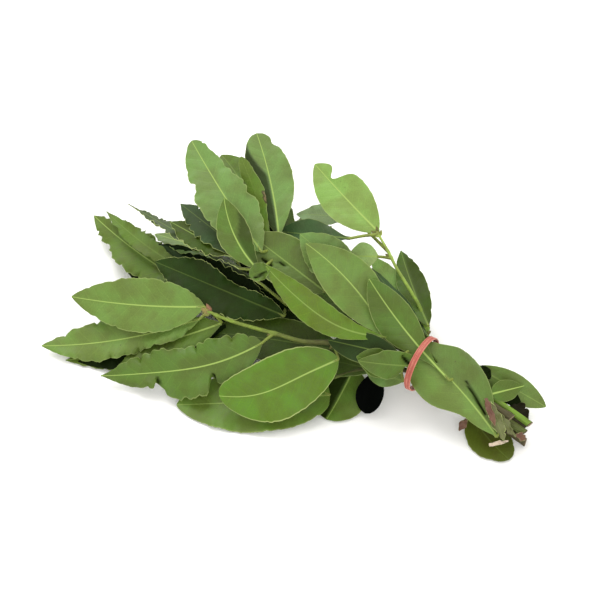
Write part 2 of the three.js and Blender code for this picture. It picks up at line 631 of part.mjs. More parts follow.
export default bunch;
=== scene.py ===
# %% [markdown]
# # A tied bunch of bay leaf sprigs
# The real object is a loose bunch of bay laurel twigs from a kitchen: seven leafy sprigs that lie on
# a table, held at the neck by a flat rubber band, with their cut ends sticking out past it.
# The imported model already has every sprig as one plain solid. This script keeps those places and
# sizes, and dresses them: leaf blades with veins and crinkled margins, bark, buds, cut wood and
# rubber. The first cell loads the model as a fixed frame. Nothing in the frame is ever moved.

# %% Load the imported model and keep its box
import math
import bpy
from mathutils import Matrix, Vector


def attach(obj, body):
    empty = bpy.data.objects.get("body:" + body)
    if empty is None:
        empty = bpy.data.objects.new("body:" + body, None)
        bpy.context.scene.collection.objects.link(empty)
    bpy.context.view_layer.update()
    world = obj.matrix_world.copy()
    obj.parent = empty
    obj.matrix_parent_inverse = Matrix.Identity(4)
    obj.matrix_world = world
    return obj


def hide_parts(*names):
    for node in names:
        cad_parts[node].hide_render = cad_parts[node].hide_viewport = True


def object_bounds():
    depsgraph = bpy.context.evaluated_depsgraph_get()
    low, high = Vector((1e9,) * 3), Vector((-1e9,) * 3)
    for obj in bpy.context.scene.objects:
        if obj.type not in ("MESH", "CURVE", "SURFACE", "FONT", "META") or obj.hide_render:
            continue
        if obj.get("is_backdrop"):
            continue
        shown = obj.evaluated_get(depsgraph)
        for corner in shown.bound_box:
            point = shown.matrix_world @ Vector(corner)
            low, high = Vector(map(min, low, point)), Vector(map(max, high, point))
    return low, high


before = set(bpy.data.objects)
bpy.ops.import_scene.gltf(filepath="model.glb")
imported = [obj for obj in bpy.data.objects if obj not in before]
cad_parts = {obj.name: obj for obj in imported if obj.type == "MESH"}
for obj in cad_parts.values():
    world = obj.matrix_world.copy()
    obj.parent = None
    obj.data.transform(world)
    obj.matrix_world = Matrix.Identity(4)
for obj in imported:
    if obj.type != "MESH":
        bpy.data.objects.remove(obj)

import zlib
from types import SimpleNamespace

import bpy
import numpy as np
from mathutils import Vector

cad_box = [list(corner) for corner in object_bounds()]
print("the frame holds", sorted(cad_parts))
print("its box in metres:", [[round(x, 4) for x in corner] for corner in cad_box])

# %% [markdown]
# ## One way of measuring for everything
# A leaf in a bunch hangs in space at odd angles, so plain X, Y and Z numbers are hard to read. Here
# each place is given as an eye sees it, from 50 degrees above the table and 1.3 m away: how far
# across and up from the middle, and how high above the table. `place` follows the line of sight down
# to that height. `to_frame` then turns the whole bunch so that it lies along X, in metres.
# The other way would be to model every leaf flat and rotate it by hand, which takes far longer.

# %% The line of sight, and places along it
MM = 0.001
SIGHT_HEIGHT = math.radians(50)
SIGHT_DISTANCE = 1300.0
BUNCH_TURN = math.radians(28)
BUNCH_MIDDLE = np.array([13.0, -27.5, 0.0])

UP = np.array([0.0, 0.0, 1.0])
TOWARDS_EYE = np.array([0.0, -math.cos(SIGHT_HEIGHT), math.sin(SIGHT_HEIGHT)])
SIGHT_UP = np.array([0.0, math.sin(SIGHT_HEIGHT), math.cos(SIGHT_HEIGHT)])
EYE = TOWARDS_EYE * SIGHT_DISTANCE
BUNCH_AXES = np.array(
    [
        [math.cos(BUNCH_TURN), -math.sin(BUNCH_TURN), 0.0],
        [math.sin(BUNCH_TURN), math.cos(BUNCH_TURN), 0.0],
        [0.0, 0.0, 1.0],
    ]
)


def place(seen):
    """The point in mm that is seen at (across, up) and lies at that height above the table."""
    across, up, height = seen
    ray = SIGHT_UP * up + np.array([across, 0.0, 0.0]) - EYE
    return EYE + ray * ((height - EYE[2]) / ray[2])


def to_frame(points):
    """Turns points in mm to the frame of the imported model, in metres."""
    return (np.asarray(points) @ BUNCH_AXES.T - BUNCH_MIDDLE) * MM


print("the middle of the table is at", to_frame(np.zeros(3)).round(4))

# %% [markdown]
# ## Three small sums
# Nearly every shape and colour below is a mixture of two others, with a soft step between them, so
# these come first. Blender has the same two as shader nodes, Mix and Map Range. Here they work on
# whole arrays of points at once, which is what keeps a script with so many leaves fast.

# %% Helpers for arrays
def unit(vector):
    """The same direction with length 1."""
    return vector / np.linalg.norm(vector, axis=-1, keepdims=True)


def mix(a, b, share):
    """a where share is 0, b where it is 1."""
    return a + (b - a) * share


def smooth(x, low, high):
    """0 below low, 1 above high, with a soft step between."""
    t = np.clip((x - low) / (high - low), 0.0, 1.0)
    return t * t * (3 - 2 * t)


print("half way up a soft step:", smooth(np.array([0.2, 0.5, 0.8]), 0, 1).round(3))

# %% [markdown]
# ## Camera
# The camera stands where the eye of the measuring stands, so each leaf lands where it was read off.
# It is a long lens from 1.3 m away, which keeps the bunch free of wide-angle stretch. It looks at the
# middle of the table, and needs no shift and no depth of field.

# %% Make the camera
SENSOR_WIDTH = 36.0
LENS = 130.0


def aim(thing, target):
    """Turns a camera or a light so that it looks at the target."""
    thing.rotation_euler = (Vector(target) - thing.location).to_track_quat("-Z", "Y").to_euler()


def add_camera():
    """The camera at the measuring eye."""
    camera = bpy.data.objects.new("camera", bpy.data.cameras.new("camera"))
    camera.data.sensor_width = SENSOR_WIDTH
    camera.data.lens = LENS
    camera.location = to_frame(EYE)
    aim(camera, to_frame(np.zeros(3)))
    bpy.context.collection.objects.link(camera)
    return camera


bpy.context.scene.camera = add_camera()
print("camera at", [round(x, 3) for x in bpy.context.scene.camera.location])

# %% [markdown]
# ## Floor and light
# Bay leaves have a thin wax skin with a soft sheen. A large softbox above and behind the bunch puts
# that sheen along the blades and keeps the hollows under the leaves dark. A second, weaker one at
# the front opens the shadows, and a pale sky does the rest. A sun lamp would be simpler, but its
# hard shadows would cut the leaves into pieces. The floor is a plain, nearly white sheet, larger
# than the view from any side.

# %% Make the floor and the lights
FLOOR_SIDE = 9.0
FLOOR_DROP = 0.0004
FLOOR_COLOUR = (0.95, 0.95, 0.95, 1)
FLOOR_ROUGHNESS = 0.9
SKY_COLOUR = (1.0, 0.985, 0.94, 1)
SKY_STRENGTH = 1.05
LIGHT_AIM = (0, 0, 0.03)
# name, place in metres, side in metres, watts
SOFTBOXES = [
    ("key light", (-0.7, 0.55, 1.75), 1.3, 24.0),
    ("front light", (0.9, -1.3, 1.5), 1.3, 12.5),
]


def add_floor():
    """A plain pale sheet just under the lowest leaf."""
    bpy.ops.mesh.primitive_plane_add(size=FLOOR_SIDE, location=(0, 0, -FLOOR_DROP))
    floor = bpy.context.object
    floor.name = "floor"
    paper = bpy.data.materials.new("pale floor")
    paper.use_nodes = True
    shader = paper.node_tree.nodes["Principled BSDF"]
    shader.inputs["Base Color"].default_value = FLOOR_COLOUR
    shader.inputs["Roughness"].default_value = FLOOR_ROUGHNESS
    floor.data.materials.append(paper)
    floor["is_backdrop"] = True


def add_lights():
    """Two softboxes and an even sky."""
    for name, where, side, watts in SOFTBOXES:
        lamp = bpy.data.objects.new(name, bpy.data.lights.new(name, "AREA"))
        lamp.data.size = side
        lamp.data.energy = watts
        lamp.location = where
        aim(lamp, LIGHT_AIM)
        bpy.context.collection.objects.link(lamp)
    sky = bpy.data.worlds.new("sky")
    sky.use_nodes = True
    glow = sky.node_tree.nodes["Background"].inputs
    glow["Color"].default_value = SKY_COLOUR
    glow["Strength"].default_value = SKY_STRENGTH
    bpy.context.scene.world = sky


add_floor()
add_lights()
bpy.context.scene.view_settings.view_transform = "Standard"
print("lit by", [name for name, *_ in SOFTBOXES])

# %% [markdown]
# ## How a leaf is written down
# A bay leaf is a spindle-shaped blade on a short stalk, 65 to 110 mm long. Its midrib is bowed, the
# two halves rise a little from it like a shallow gutter, and its margin waves. Each of those is one
# number here, so a leaf is one call: where its stalk leaves the stem, its base and tip, its width,
# its colour, and what is special about it. Names such as `tilt` and `fold` are the plain solid's,
# with the same values, so that the fine blade stays where the plain one is. A sculpted blade would
# look as good, but more than fifty of them would be slow to make and hard to change.
#
# A leaf has a left and a right side, as seen from its base to its tip: 1 is left and -1 is right.
# A place on it is a share of its length, 0 at the base and 1 at the tip.

# %% Leaves and sprigs as records
PLAIN_LEAF = {
    "arch": 0,  # bow of the midrib out of the blade, in mm
    "sway": 0,  # bow of the midrib within the blade, towards the leaf's left
    "swing": 0,  # S shape of the midrib within the blade
    "tilt": 30,  # how far the upper side leans from straight up towards the eye, in degrees
    "roll": 0,  # turn about the midrib
    "fold": 6,  # rise of both halves from the midrib
    "curl": 0,  # curvature across the blade, in 1/mm
    "widest": 0.5,  # where the blade is widest
    "base_taper": 0.8,  # below 1 for a full base, above 1 for a slender one
    "tip_taper": 0.8,
    "wave": 1,  # height of the long waves along the margin, in mm
    "waves": 2.5,  # how many of them
    "crinkle": 1,  # strength of the fine crinkles of the margin
    "ragged": 0,  # strength of the scallops that are bitten into the margin
    "hem": 0,  # how far the margin curls down, in mm
    "rib": 1,  # how pale the midrib is
    "rim": 0.35,  # how pale the margin is; on the dark leaves partly a painted highlight
    "bites": (),  # (side, place, depth, length) of each piece missing from the margin
    "dry": (),  # (side, place, length, strength) of each brown stretch of the margin
    "creases": (),  # (place, mm aside, place, mm aside, width in mm) of each fold, from end to end
    "dim": (),  # (side, place, strength) of each half that gets painted shade, darker from its base to there
}
WAVE_LAG = 1.7  # the waves of each leaf start this much later than the last one's, radians
SPRIGS = []


def leaf(name, on, base, tip, width, look, **special):
    """A leaf: `on` counts the points of its stem from the cut end, up to where its stalk starts."""
    row = dict(PLAIN_LEAF, name=name, on=on, base=base, tip=tip, width=width, look=look)
    row.update(special)
    return SimpleNamespace(**row)


def sprig(name, cut_radius, tip_radius, seat, tail, stem, leaves, rags=()):
    """A sprig: its stem through the band at `seat`, `tail` mm of it past the band, and its leaves."""
    for index, one in enumerate([*leaves, *rags]):
        one.phase = WAVE_LAG * index
    SPRIGS.append(
        SimpleNamespace(
            name=name,
            cut_radius=cut_radius,
            tip_radius=tip_radius,
            seat=seat,
            tail=tail,
            stem=stem,
            leaves=leaves,
            rags=rags,
        )
    )
    print(name, "has", len(leaves), "leaves")


BAND_MIDDLE = (73.5, -37.5, 30)
print("a leaf that says nothing special has", len(PLAIN_LEAF), "usual values")

# %% [markdown]
# ## The front sprig
# The nearest twig carries the broad, strongly waved leaves on the left, and its bud is the only one
# in plain sight. Old bay leaves are torn and nibbled, so `bites` and `ragged` eat into their margins
# and `hem` curls them down. One leaf could be copied and bent five times, but no two of them are
# alike, so each was measured: the two ends of its midrib, its width, and then what is odd about it.

# %% The front sprig
sprig(
    "front_sprig",
    cut_radius=2.2, tip_radius=1.1, seat=(-3.9, 0.4), tail=62,
    stem=[(30, -27, 36), (3, -25, 37), (-12, -21, 36), (-30, -16, 34), (-43, -12, 33), (-55, -7, 33)],
    leaves=[
        leaf("upper left", 8, (-57.5, -4, 34), (-137, 2, 26), 32, "meadow", crinkle=0.9, sway=2,
             tilt=36, widest=0.45, base_taper=0.75, tip_taper=0.75, wave=1.2, waves=3, ragged=0.5,
             hem=0.6),
        leaf("long left", 8, (-60.5, -11.5, 28), (-155, -27.5, 5), 29, "meadow", crinkle=1.8,
             sway=3.3, tilt=22, widest=0.44, base_taper=0.85, wave=1.6, waves=3.5, arch=-3,
             bites=[(1, 0.33, 0.42, 0.27)], ragged=1.1, hem=1.5),
        leaf("left behind", 7.6, (-47, -14, 27), (-140.5, -36.5, 0.2), 28, "moss", crinkle=1.8,
             sway=2, tilt=20, widest=0.45, base_taper=0.9, tip_taper=0.85, wave=1.4, waves=3, arch=-3,
             bites=[(1, 0.4, 0.3, 0.3)], ragged=1.1, hem=1.4),
        leaf("wavy front", 5.2, (-23, -26, 31), (-119.5, -45.5, 6), 35, "grass", crinkle=1.9, sway=6,
             swing=1, widest=0.42, base_taper=0.75, tip_taper=1, wave=2.4, waves=3.5,
             bites=[(1, 0.72, 0.3, 0.1), (1, 0.3, 0.3, 0.05), (1, 0.655, 0.45, 0.022),
                    (1, 0.33, 0.4, 0.02), (-1, 0.45, 0.27, 0.22)], ragged=1.15, hem=1.3,
             creases=[(0.32, 6, 0.335, 17, 1.2), (0.65, 2.5, 0.65, 9, 1.1)]),
        leaf("broad front", 3.3, (23, -35.5, 33), (-48.5, -57.5, 17), 37, "fresh", crinkle=0.6,
             sway=5, swing=-1.5, tilt=42, base_taper=0.55, tip_taper=0.5, wave=1.2, waves=2,
             ragged=0.2, rim=0.8, hem=0.2),
        leaf("inner front", 3, (27, -31, 26), (-56.5, -19, 17), 28, "sage", crinkle=0.8, sway=-1,
             tilt=20, base_taper=0.7, tip_taper=0.7, wave=1.2, waves=2, rib=0.2),
        leaf("under tie", 2.3, (61, -42.5, 36.5), (34, -34, 51), 16.5, "grass", crinkle=0.5,
             widest=0.55, base_taper=0.6, wave=0.8, waves=2, rib=0.2),
        leaf("under tie low", 2.3, (62, -48.5, 26), (39.5, -42.5, 23), 13, "pale", crinkle=0.6,
             base_taper=0.7, wave=0.6, waves=2, rib=0.2),
    ],
    rags=[
        # painted shade: a very dark blade under the left leaves, so that the gaps between their
        # margins look dark
        leaf("shade below the left leaves", 0, (-44.5, -15.5, 21), (-133, -37, 1.5), 25, "painted_shade_ink",
             tilt=20, fold=0, rib=0, rim=0, sway=2),
    ],
)

# %% [markdown]
# ## The low sprig
# Its leaves lie pressed flat on the table by the weight of the bunch, so their `tilt` is small and
# their ends are almost at height 0. One small leaf hangs in full shade, and its tone is that shade
# painted in, nearly black. One half of another gets painted shade. Cloth physics could press the
# leaves down, but they are stiff, and a low height does the same.

# %% The low sprig
sprig(
    "low_sprig",
    cut_radius=1.9, tip_radius=1.1, seat=(-6.3, -3.7), tail=60,
    stem=[(47, -41, 21), (27, -44.5, 14), (9, -50.5, 9), (-6, -55, 7)],
    leaves=[
        leaf("low long", 5.2, (18, -57, 9), (-74, -63, 1.5), 40, "leek", crinkle=0.9, sway=1, tilt=14,
             widest=0.46, base_taper=0.38, tip_taper=0.65, wave=1.2, waves=3, ragged=0.5, hem=0.3,
             rib=0.7),
        leaf("low short", 3.6, (32.5, -41, 10), (16, -72, 0.2), 32, "leek", crinkle=0.7, arch=-2,
             tilt=8, base_taper=0.5, tip_taper=0.5, wave=0.8, waves=2, rib=0.9,
             dim=[(-1, 1.6, 0.85)]),
        leaf("low dark", 2.8, (48.5, -41, 20), (39, -68, 4), 16, "painted_shade_black", crinkle=0.5, sway=-1,
             tilt=8, widest=0.6, base_taper=0.6, tip_taper=0.5, wave=0.5, waves=2, rib=0, rim=0),
        leaf("inner low", 3, (44, -42, 20), (13, -35, 8), 19, "grass", crinkle=0.6, tilt=8,
             base_taper=0.6, tip_taper=0.6, wave=0.5, waves=2, rib=0.2),
        leaf("neck low", 0.7, (103, -69, 4), (125.5, -96, 0.5), 24, "bottle", crinkle=0.6, sway=-1,
             tilt=0, base_taper=0.5, tip_taper=0.5, wave=0.1, waves=1, arch=-1.5, fold=0, ragged=0.5,
             rib=0.2),
    ],
)

# %% [markdown]
# ## The dark sprig
# The hollow of the bunch shows old, dark leaves whose pale margins stand out as thin wavy lines. That
# is `rim` near 1 on a dark tone, with `crinkle` raised; that pale rim is partly the leaves' own
# margin and partly a painted highlight on their wavy edges. The shade of the hollow is painted into
# the tones as well: they are partly the dark green of old leaves and partly painted shade, two of
# them far darker than any leaf is, because the lamps alone would not darken them evenly from all
# sides. One leaf also gets painted shade on both halves.

# %% The dark sprig
sprig(
    "dark_sprig",
    cut_radius=2.4, tip_radius=1.1, seat=(0, -6), tail=72,
    stem=[(30, -24, 25), (6, -11, 26), (-18, 0, 27), (-42, 8.5, 26), (-60, 15.5, 26)],
    leaves=[
        leaf("dark broad", 4.6, (-9.5, -9.5, 32), (-87, 23, 33), 31, "night", crinkle=2.6,
             base_taper=0.75, wave=1.6, waves=3, bites=[(-1, 0.38, 0.6, 0.26)], ragged=0.7, rib=0.2,
             rim=1),
        leaf("dark under", 6.4, (-50.5, 0, 20), (-103, 16, 9), 20, "painted_shade_ink", crinkle=1.4, tilt=25,
             tip_taper=0.9, rib=0.2, rim=0.6),
        leaf("dark behind", 4.8, (-17, -4, 28), (-92.5, 32.5, 24), 27, "steel", crinkle=1.6, rib=0.1,
             rim=0.9, ragged=0.5, dim=[(-1, 0.95, 0.75), (1, 0.95, 0.75)]),
        leaf("far left", 7, (-71, 11.5, 21), (-123.5, 50.5, 10), 26, "moss", crinkle=1.8, sway=2,
             widest=0.45, wave=1.4, bites=[(1, 0.72, 0.35, 0.05), (-1, 0.8, 0.5, 0.06)], ragged=1.1,
             rib=0.9, hem=0.6),
        leaf("far left upper", 6.8, (-69.5, 18, 31), (-116, 53, 20), 11, "moss", crinkle=1.4, sway=2,
             tip_taper=0.9, wave=1.2, ragged=0.6, rib=0.15, rim=0.05),
        leaf("edge long", 4.4, (-23, 9.5, 44), (-103, 57.5, 36), 9, "slate", crinkle=2, tilt=-30,
             tip_taper=0.9, wave=0.8, waves=3, ragged=1, rib=0.2, rim=0.9),
        leaf("inner dark", 3.6, (3.5, -3.5, 33), (-55, 19, 23), 26, "painted_shade_ink", tip_taper=0.9, waves=2,
             rib=0.2, rim=0.1),
        leaf("back low left", 4, (-18, 9, 16), (-62, 46, 0.2), 30, "deep", tilt=0, base_taper=0.75,
             tip_taper=0.9, wave=1.4),
        leaf("under middle", 3.4, (6, -18, 16), (-60, -0.6, 0.2), 30, "night", tilt=5,
             base_taper=0.75, tip_taper=0.9, wave=1.2),
        leaf("back left mid", 5.4, (-38.5, 25, 35), (-87, 39.5, 17), 24, "pale", crinkle=1.4,
             tilt=-20, base_taper=0.7, ragged=0.8),
    ],
)

# %% [markdown]
# ## The middle sprig
# Three narrow leaves stick out to the back left and are seen nearly edge on. They are dusty: grey,
# sage and slate blue. Their small or negative `tilt` turns the blade away from the eye. A flat leaf
# seen edge on would vanish, so a little fold and a strong crinkle keep it readable.

# %% The middle sprig
sprig(
    "middle_sprig",
    cut_radius=2.3, tip_radius=1.1, seat=(1, 0.1), tail=70,
    stem=[(31, -13, 47), (3, 2.5, 54), (-18, 17, 60), (-37, 30, 64)],
    leaves=[
        leaf("edge grey", 5, (-36, 19, 55), (-98, 54.5, 44), 11, "ash", crinkle=2.2, tilt=-20,
             tip_taper=0.9, waves=3, ragged=1, rib=0.3, rim=1),
        leaf("pale middle", 5.4, (-41, 26.5, 59), (-78, 47, 53), 17, "sage", crinkle=2.4, tilt=10,
             tip_taper=0.9, waves=2, ragged=1.1, rim=1, rib=0.6),
        leaf("blue grey", 6, (-35, 29, 62), (-71.5, 57.5, 56), 20, "steel", crinkle=1.6, tilt=20,
             widest=0.45, waves=2, ragged=1.1, rib=0.2, rim=0.6),
    ],
)

# %% [markdown]
# ## The tall sprig
# The tallest leaves show their undersides, which are paler and have raised midribs. Each of the two
# has one half darkened with painted shade, as if it were folded away from the light. Behind them are
# the leaves that carry the bunch from the back. The eye doesn't see those, but the object is seen
# from all sides. The shaded half could be a second leaf, but then the midrib would lose its clean
# border.

# %% The tall sprig
sprig(
    "tall_sprig",
    cut_radius=2.4, tip_radius=1.1, seat=(6, -2), tail=68,
    stem=[(51, -17, 38), (24, 5, 52), (1, 19, 60), (-14.5, 30, 64)],
    leaves=[
        leaf("tall left", 6, (-23, 29, 70), (-65, 95.5, 92), 32, "pale", crinkle=1.3, tilt=40,
             base_taper=0.75, tip_taper=0.55, sway=1, wave=1.2, waves=2,
             bites=[(1, 0.68, 0.25, 0.04), (-1, 0.86, 0.22, 0.12), (-1, 0.42, 0.2, 0.05),
                    (-1, 0.66, 0.28, 0.17)], ragged=0.8),
        leaf("tall front", 5.8, (-24, 17, 68), (-45.5, 61, 88), 19, "grass", crinkle=0.8, tilt=50,
             widest=0.55, base_taper=0.9, sway=4, wave=0.8, waves=2, ragged=0.2, rim=0.6,
             dim=[(-1, 0.8, 0.5)]),
        leaf("tall right", 5.2, (-12.5, 37, 68), (-26, 100, 94), 27, "pale", crinkle=0.8, tilt=40,
             widest=0.55, base_taper=0.9, tip_taper=0.45, sway=-2, waves=2,
             bites=[(-1, 0.88, 0.25, 0.04)], ragged=0.2, dim=[(1, 0.92, 0.78)]),
        leaf("tall brown", 5.4, (-23, 36, 60), (-47, 87, 73), 26, "leek", crinkle=0.9, tilt=40,
             widest=0.6, tip_taper=0.7, sway=-4, wave=0.8, waves=2, rib=0.3, rim=0.9, ragged=0.3,
             dry=[(-1, 0.52, 0.1, 1), (1, 0.52, 0.1, 1)]),
        # painted shade: a narrow, very dark blade fills the shaded strip beside the right tall leaf
        leaf("tall shade", 5.3, (-14, 36, 66), (-32.5, 84, 81), 13, "painted_shade_ink", crinkle=0.8, tilt=40,
             wave=0.6, waves=2, rib=0.2),
        leaf("pale centre", 4.2, (15, 5, 57.5), (-30, 39.5, 72), 30, "dusk", crinkle=0.9,
             base_taper=0.7, wave=1.2, waves=2, rib=0.5, rim=0.6,
             creases=[(0.745, 7, 0.61, 7.1, 1.2), (0.586, 3, 0.477, 1.6, 1)]),
        leaf("inner right", 3.2, (41, -8.5, 40), (-7, 14.5, 44), 27, "grass", crinkle=0.8, tilt=20,
             base_taper=0.7, waves=2, rib=0.2),
        leaf("back low", 3.6, (18, 15, 30), (-5, 47.5, 0.2), 32, "deep", tilt=0, base_taper=0.75,
             tip_taper=0.9, wave=1.4),
        leaf("back mid", 4.6, (0, 24, 52), (-40, 71.5, 40), 30, "grass", tilt=-20, base_taper=0.75,
             tip_taper=0.9, wave=1.4),
        leaf("back centre", 4.4, (9.5, 23, 44), (3.5, 51.5, 24), 28, "deep", tilt=-20,
             base_taper=0.75, tip_taper=0.9, wave=1.4),
        leaf("back high", 5, (-6, 29, 56), (-23, 74.5, 58), 20, "olive", tilt=-10, base_taper=0.75,
             tip_taper=0.9, wave=1.2, waves=2),
    ],
    rags=[
        leaf("brown half behind the tall leaves", 0, (-17.5, 32, 66), (-35.5, 86, 91), 11.5, "leek",
             tilt=40, roll=-25, sway=-1.5, fold=2, crinkle=0.8, ragged=0.2, rib=0.1, rim=0.45,
             widest=0.6, base_taper=1.3, tip_taper=0.55, dry=[(-1, 0.5, 0.13, 0.58)]),
    ],
)

# %% [markdown]
# ## The top sprig
# This one lies on top. Its lowest leaf wraps round the neck, on past the band, and ends in torn
# strips and brown husks between the cut stems. Those scraps are written as `rags`, which are small
# blades without a stalk. Sculpting scraps would be freer, but as blades they share the leaf's
# veins and colours, and stay easy to move.

# %% The top sprig
sprig(
    "top_sprig",
    cut_radius=2.1, tip_radius=1.1, seat=(0, 6.2), tail=61,
    stem=[(54.5, -20, 45), (38.5, -3, 51), (25, 9, 55)],
    leaves=[
        leaf("bright curved", 3, (53, -22, 45), (-20.5, 20.5, 80), 17, "lime", crinkle=0.8, tilt=40,
             widest=0.55, base_taper=0.9, tip_taper=0.7, sway=9, swing=1, waves=2, rib=0.5,
             ragged=0.2),
        leaf("top broad", 3.2, (51.5, -20.5, 45), (3.5, 34, 85), 29, "meadow", crinkle=0.5, tilt=32,
             sway=-4, base_taper=0.75, waves=2),
        leaf("top behind", 4.4, (39, 6, 57), (0, 39.5, 80), 25, "pale", tilt=28, widest=0.55,
             base_taper=0.75, wave=0.8, waves=2, rib=0.4, ragged=0.3),
        leaf("top right", 1.25, (89.5, -48, 34), (41.5, 12.5, 75), 24, "grass", crinkle=0.5, tilt=20,
             arch=-8, fold=-8, widest=0.62, base_taper=1.6, tip_taper=0.7, wave=0.5, waves=2,
             curl=-0.03, rim=0.5),
        leaf("fork dark", 2.3, (61, -34, 42), (17, -24, 42.5), 18, "slate", crinkle=0.6, tilt=35,
             tip_taper=0.6, waves=2, bites=[(-1, 0.93, 0.7, 0.05)], rib=0.3),
        leaf("neck front", 0.06, (118, -82, 15), (69, -27.5, 40), 44, "meadow", crinkle=0.4, roll=-3,
             sway=-2.2, arch=1.2, widest=0.62, base_taper=0.75, tip_taper=0.5, wave=0.5, waves=1.5,
             curl=-0.045, bites=[(-1, 0.9, 0.3, 0.12), (1, 0.3, 0.4, 0.2)], ragged=0.1, rib=0.75,
             # painted shade on the right half of this leaf, over its whole length
             dim=[(-1, 1.6, 0.25)],
             creases=[(0.2, -2.2, 0.5, -5.6, 1.2), (0.78, -1.2, 0.93, -1.5, 0.8)]),
    ],
    rags=[
        leaf("curled tip of the bright leaf", 0, (-17.5, 19.5, 79), (-30.5, 14.5, 73), 11, "grass",
             tilt=35, fold=22, crinkle=2.4, ragged=0.8, rib=0.1, rim=0.3,
             creases=[(0.2, 1.5, 0.8, 2, 1.1)]),
        leaf("leaf held by the band", 0, (70, -39.5, 35), (35, -36.5, 54.5), 17, "grass", tilt=52,
             fold=3, arch=2, bites=[(1, 0.03, 4.5, 0.16)], crinkle=0.8, rib=0.3, widest=0.45,
             base_taper=0.5, creases=[(0.32, -5.5, 0.14, -0.8, 1.5)]),
        leaf("torn end", 0, (113.5, -61, 27), (122.5, -84.5, 15), 7, "withered", tilt=40, fold=18,
             crinkle=2.4, ragged=0.9, rib=0.2, rim=0.9),
        leaf("torn strip", 0, (117, -67, 24), (129.5, -82, 13), 5, "withered", fold=24, crinkle=2.6,
             ragged=0.9, rib=0.2),
        leaf("brown strip", 0, (111.5, -59, 28), (117, -75.5, 22), 4, "husk", tilt=40, fold=20,
             crinkle=2.4, ragged=0.5, rib=0),
        leaf("paper edge", 0, (113.5, -87, 13), (125, -84.5, 13), 2.4, "paper", crinkle=2.5, rib=0),
        leaf("husk at the cut", 0, (129.5, -81, 13), (135.5, -83.5, 9), 5, "husk", tilt=20, fold=20,
             crinkle=2.5, ragged=0.6, rib=0),
        leaf("husk at the side", 0, (100, -71.5, 10), (95.5, -78.5, 4), 4.5, "husk", tilt=20, fold=20,
             crinkle=2.8, ragged=0.6, rib=0),
    ],
)

# %% [markdown]
# ## The right sprig
# A young, yellow-green twig stands free on the right and forks into leaf stalks at its tip. A large
# bite is missing from its brightest leaf, which one entry of `bites` takes out. Cutting it with a
# Boolean would need a cutter for each bite, and would leave long thin faces behind.

# %% The right sprig
sprig(
    "right_sprig",
    cut_radius=2.0, tip_radius=0.8, seat=(5.6, 3.6), tail=71,
    stem=[(75.5, -18, 38), (72.5, -6, 46), (66, 6, 55), (58, 19, 64), (53, 29, 70), (47, 39.5, 76)],
    leaves=[
        leaf("strip right", 2.75, (77, -22, 38.5), (43, 19, 65), 11, "steel", crinkle=0.6, tilt=-20,
             base_taper=0.9, tip_taper=0.9, wave=0.5, waves=2, rib=0.2),
        leaf("strip behind", 3, (73, -13, 39), (42.5, 26.5, 50), 16, "spring", crinkle=0.6, tilt=5,
             wave=0.5, waves=2, rib=0.2),
        leaf("top bright", 8, (47, 41, 77), (9, 81.5, 88), 28, "spring", crinkle=0.5, sway=0.5,
             tilt=40, base_taper=0.7, tip_taper=0.7, wave=0.8, waves=2,
             bites=[(-1, 0.76, 0.85, 0.075)], ragged=0.1),
        leaf("blue dark", 8, (30, 37, 74), (-12, 41, 60), 18, "blue", crinkle=0.7, widest=0.6,
             base_taper=0.9, tip_taper=0.7, waves=2, rib=0.4),
        leaf("small light", 6.6, (47, 26, 66), (29, 26.5, 60), 16, "butter", crinkle=0.5, tilt=35,
             base_taper=0.7, wave=0.5, waves=1.5),
        leaf("olive right", 3.4, (77, -15.5, 44), (60.5, 29.5, 54), 17, "olive", crinkle=0.8,
             # painted shade on the right half of this leaf, over its whole length
             sway=0.8, base_taper=0.7, wave=0.8, waves=2, ragged=0.4, rib=0.3, dim=[(-1, 1.2, 0.3)]),
        leaf("grey back", 7, (31, 50, 66), (-2, 51.5, 54), 14, "grey", tilt=20, wave=0.8, waves=2,
             rib=0.3),
        leaf("neck right", 1.5, (106, -40, 25), (147.5, -64, 8), 17, "meadow", crinkle=0.5, tilt=45,
             base_taper=0.7, tip_taper=0.7, wave=0.6, waves=1.5, rib=0.4),
        leaf("neck right low", 1.1, (114.5, -56.5, 24.5), (134.5, -51.5, 20), 12.5, "grass",
             crinkle=0.5, tilt=34, widest=0.4, base_taper=0.7, tip_taper=1, wave=0.5, waves=1.5,
             rib=1.25),
        leaf("back low right", 3.2, (60, -12, 28), (35, 20, 0.2), 26, "deep", tilt=0, base_taper=0.75,
             tip_taper=0.9, wave=1.2),
        leaf("back right", 3.1, (74.5, -17, 34), (63, 21.5, 28), 18, "olive", tilt=0, base_taper=0.75,
             tip_taper=0.9, waves=2),
    ],
    rags=[
        # painted shade: the dark sliver and the dark gap are very dark blades in the gaps beside the
        # cut stems
        leaf("dark sliver", 0, (109, -39.5, 29), (114, -47.5, 24), 6, "painted_shade_ink", rib=0, rim=0),
        leaf("dead bit", 0, (126.5, -61, 12), (137, -71.5, 7), 9, "dead", fold=14, crinkle=2,
             ragged=0.7, rib=0),
        leaf("dark gap", 0, (119, -55, 17), (133, -62.5, 11), 8, "painted_shade_ink", rib=0, rim=0),
    ],
)
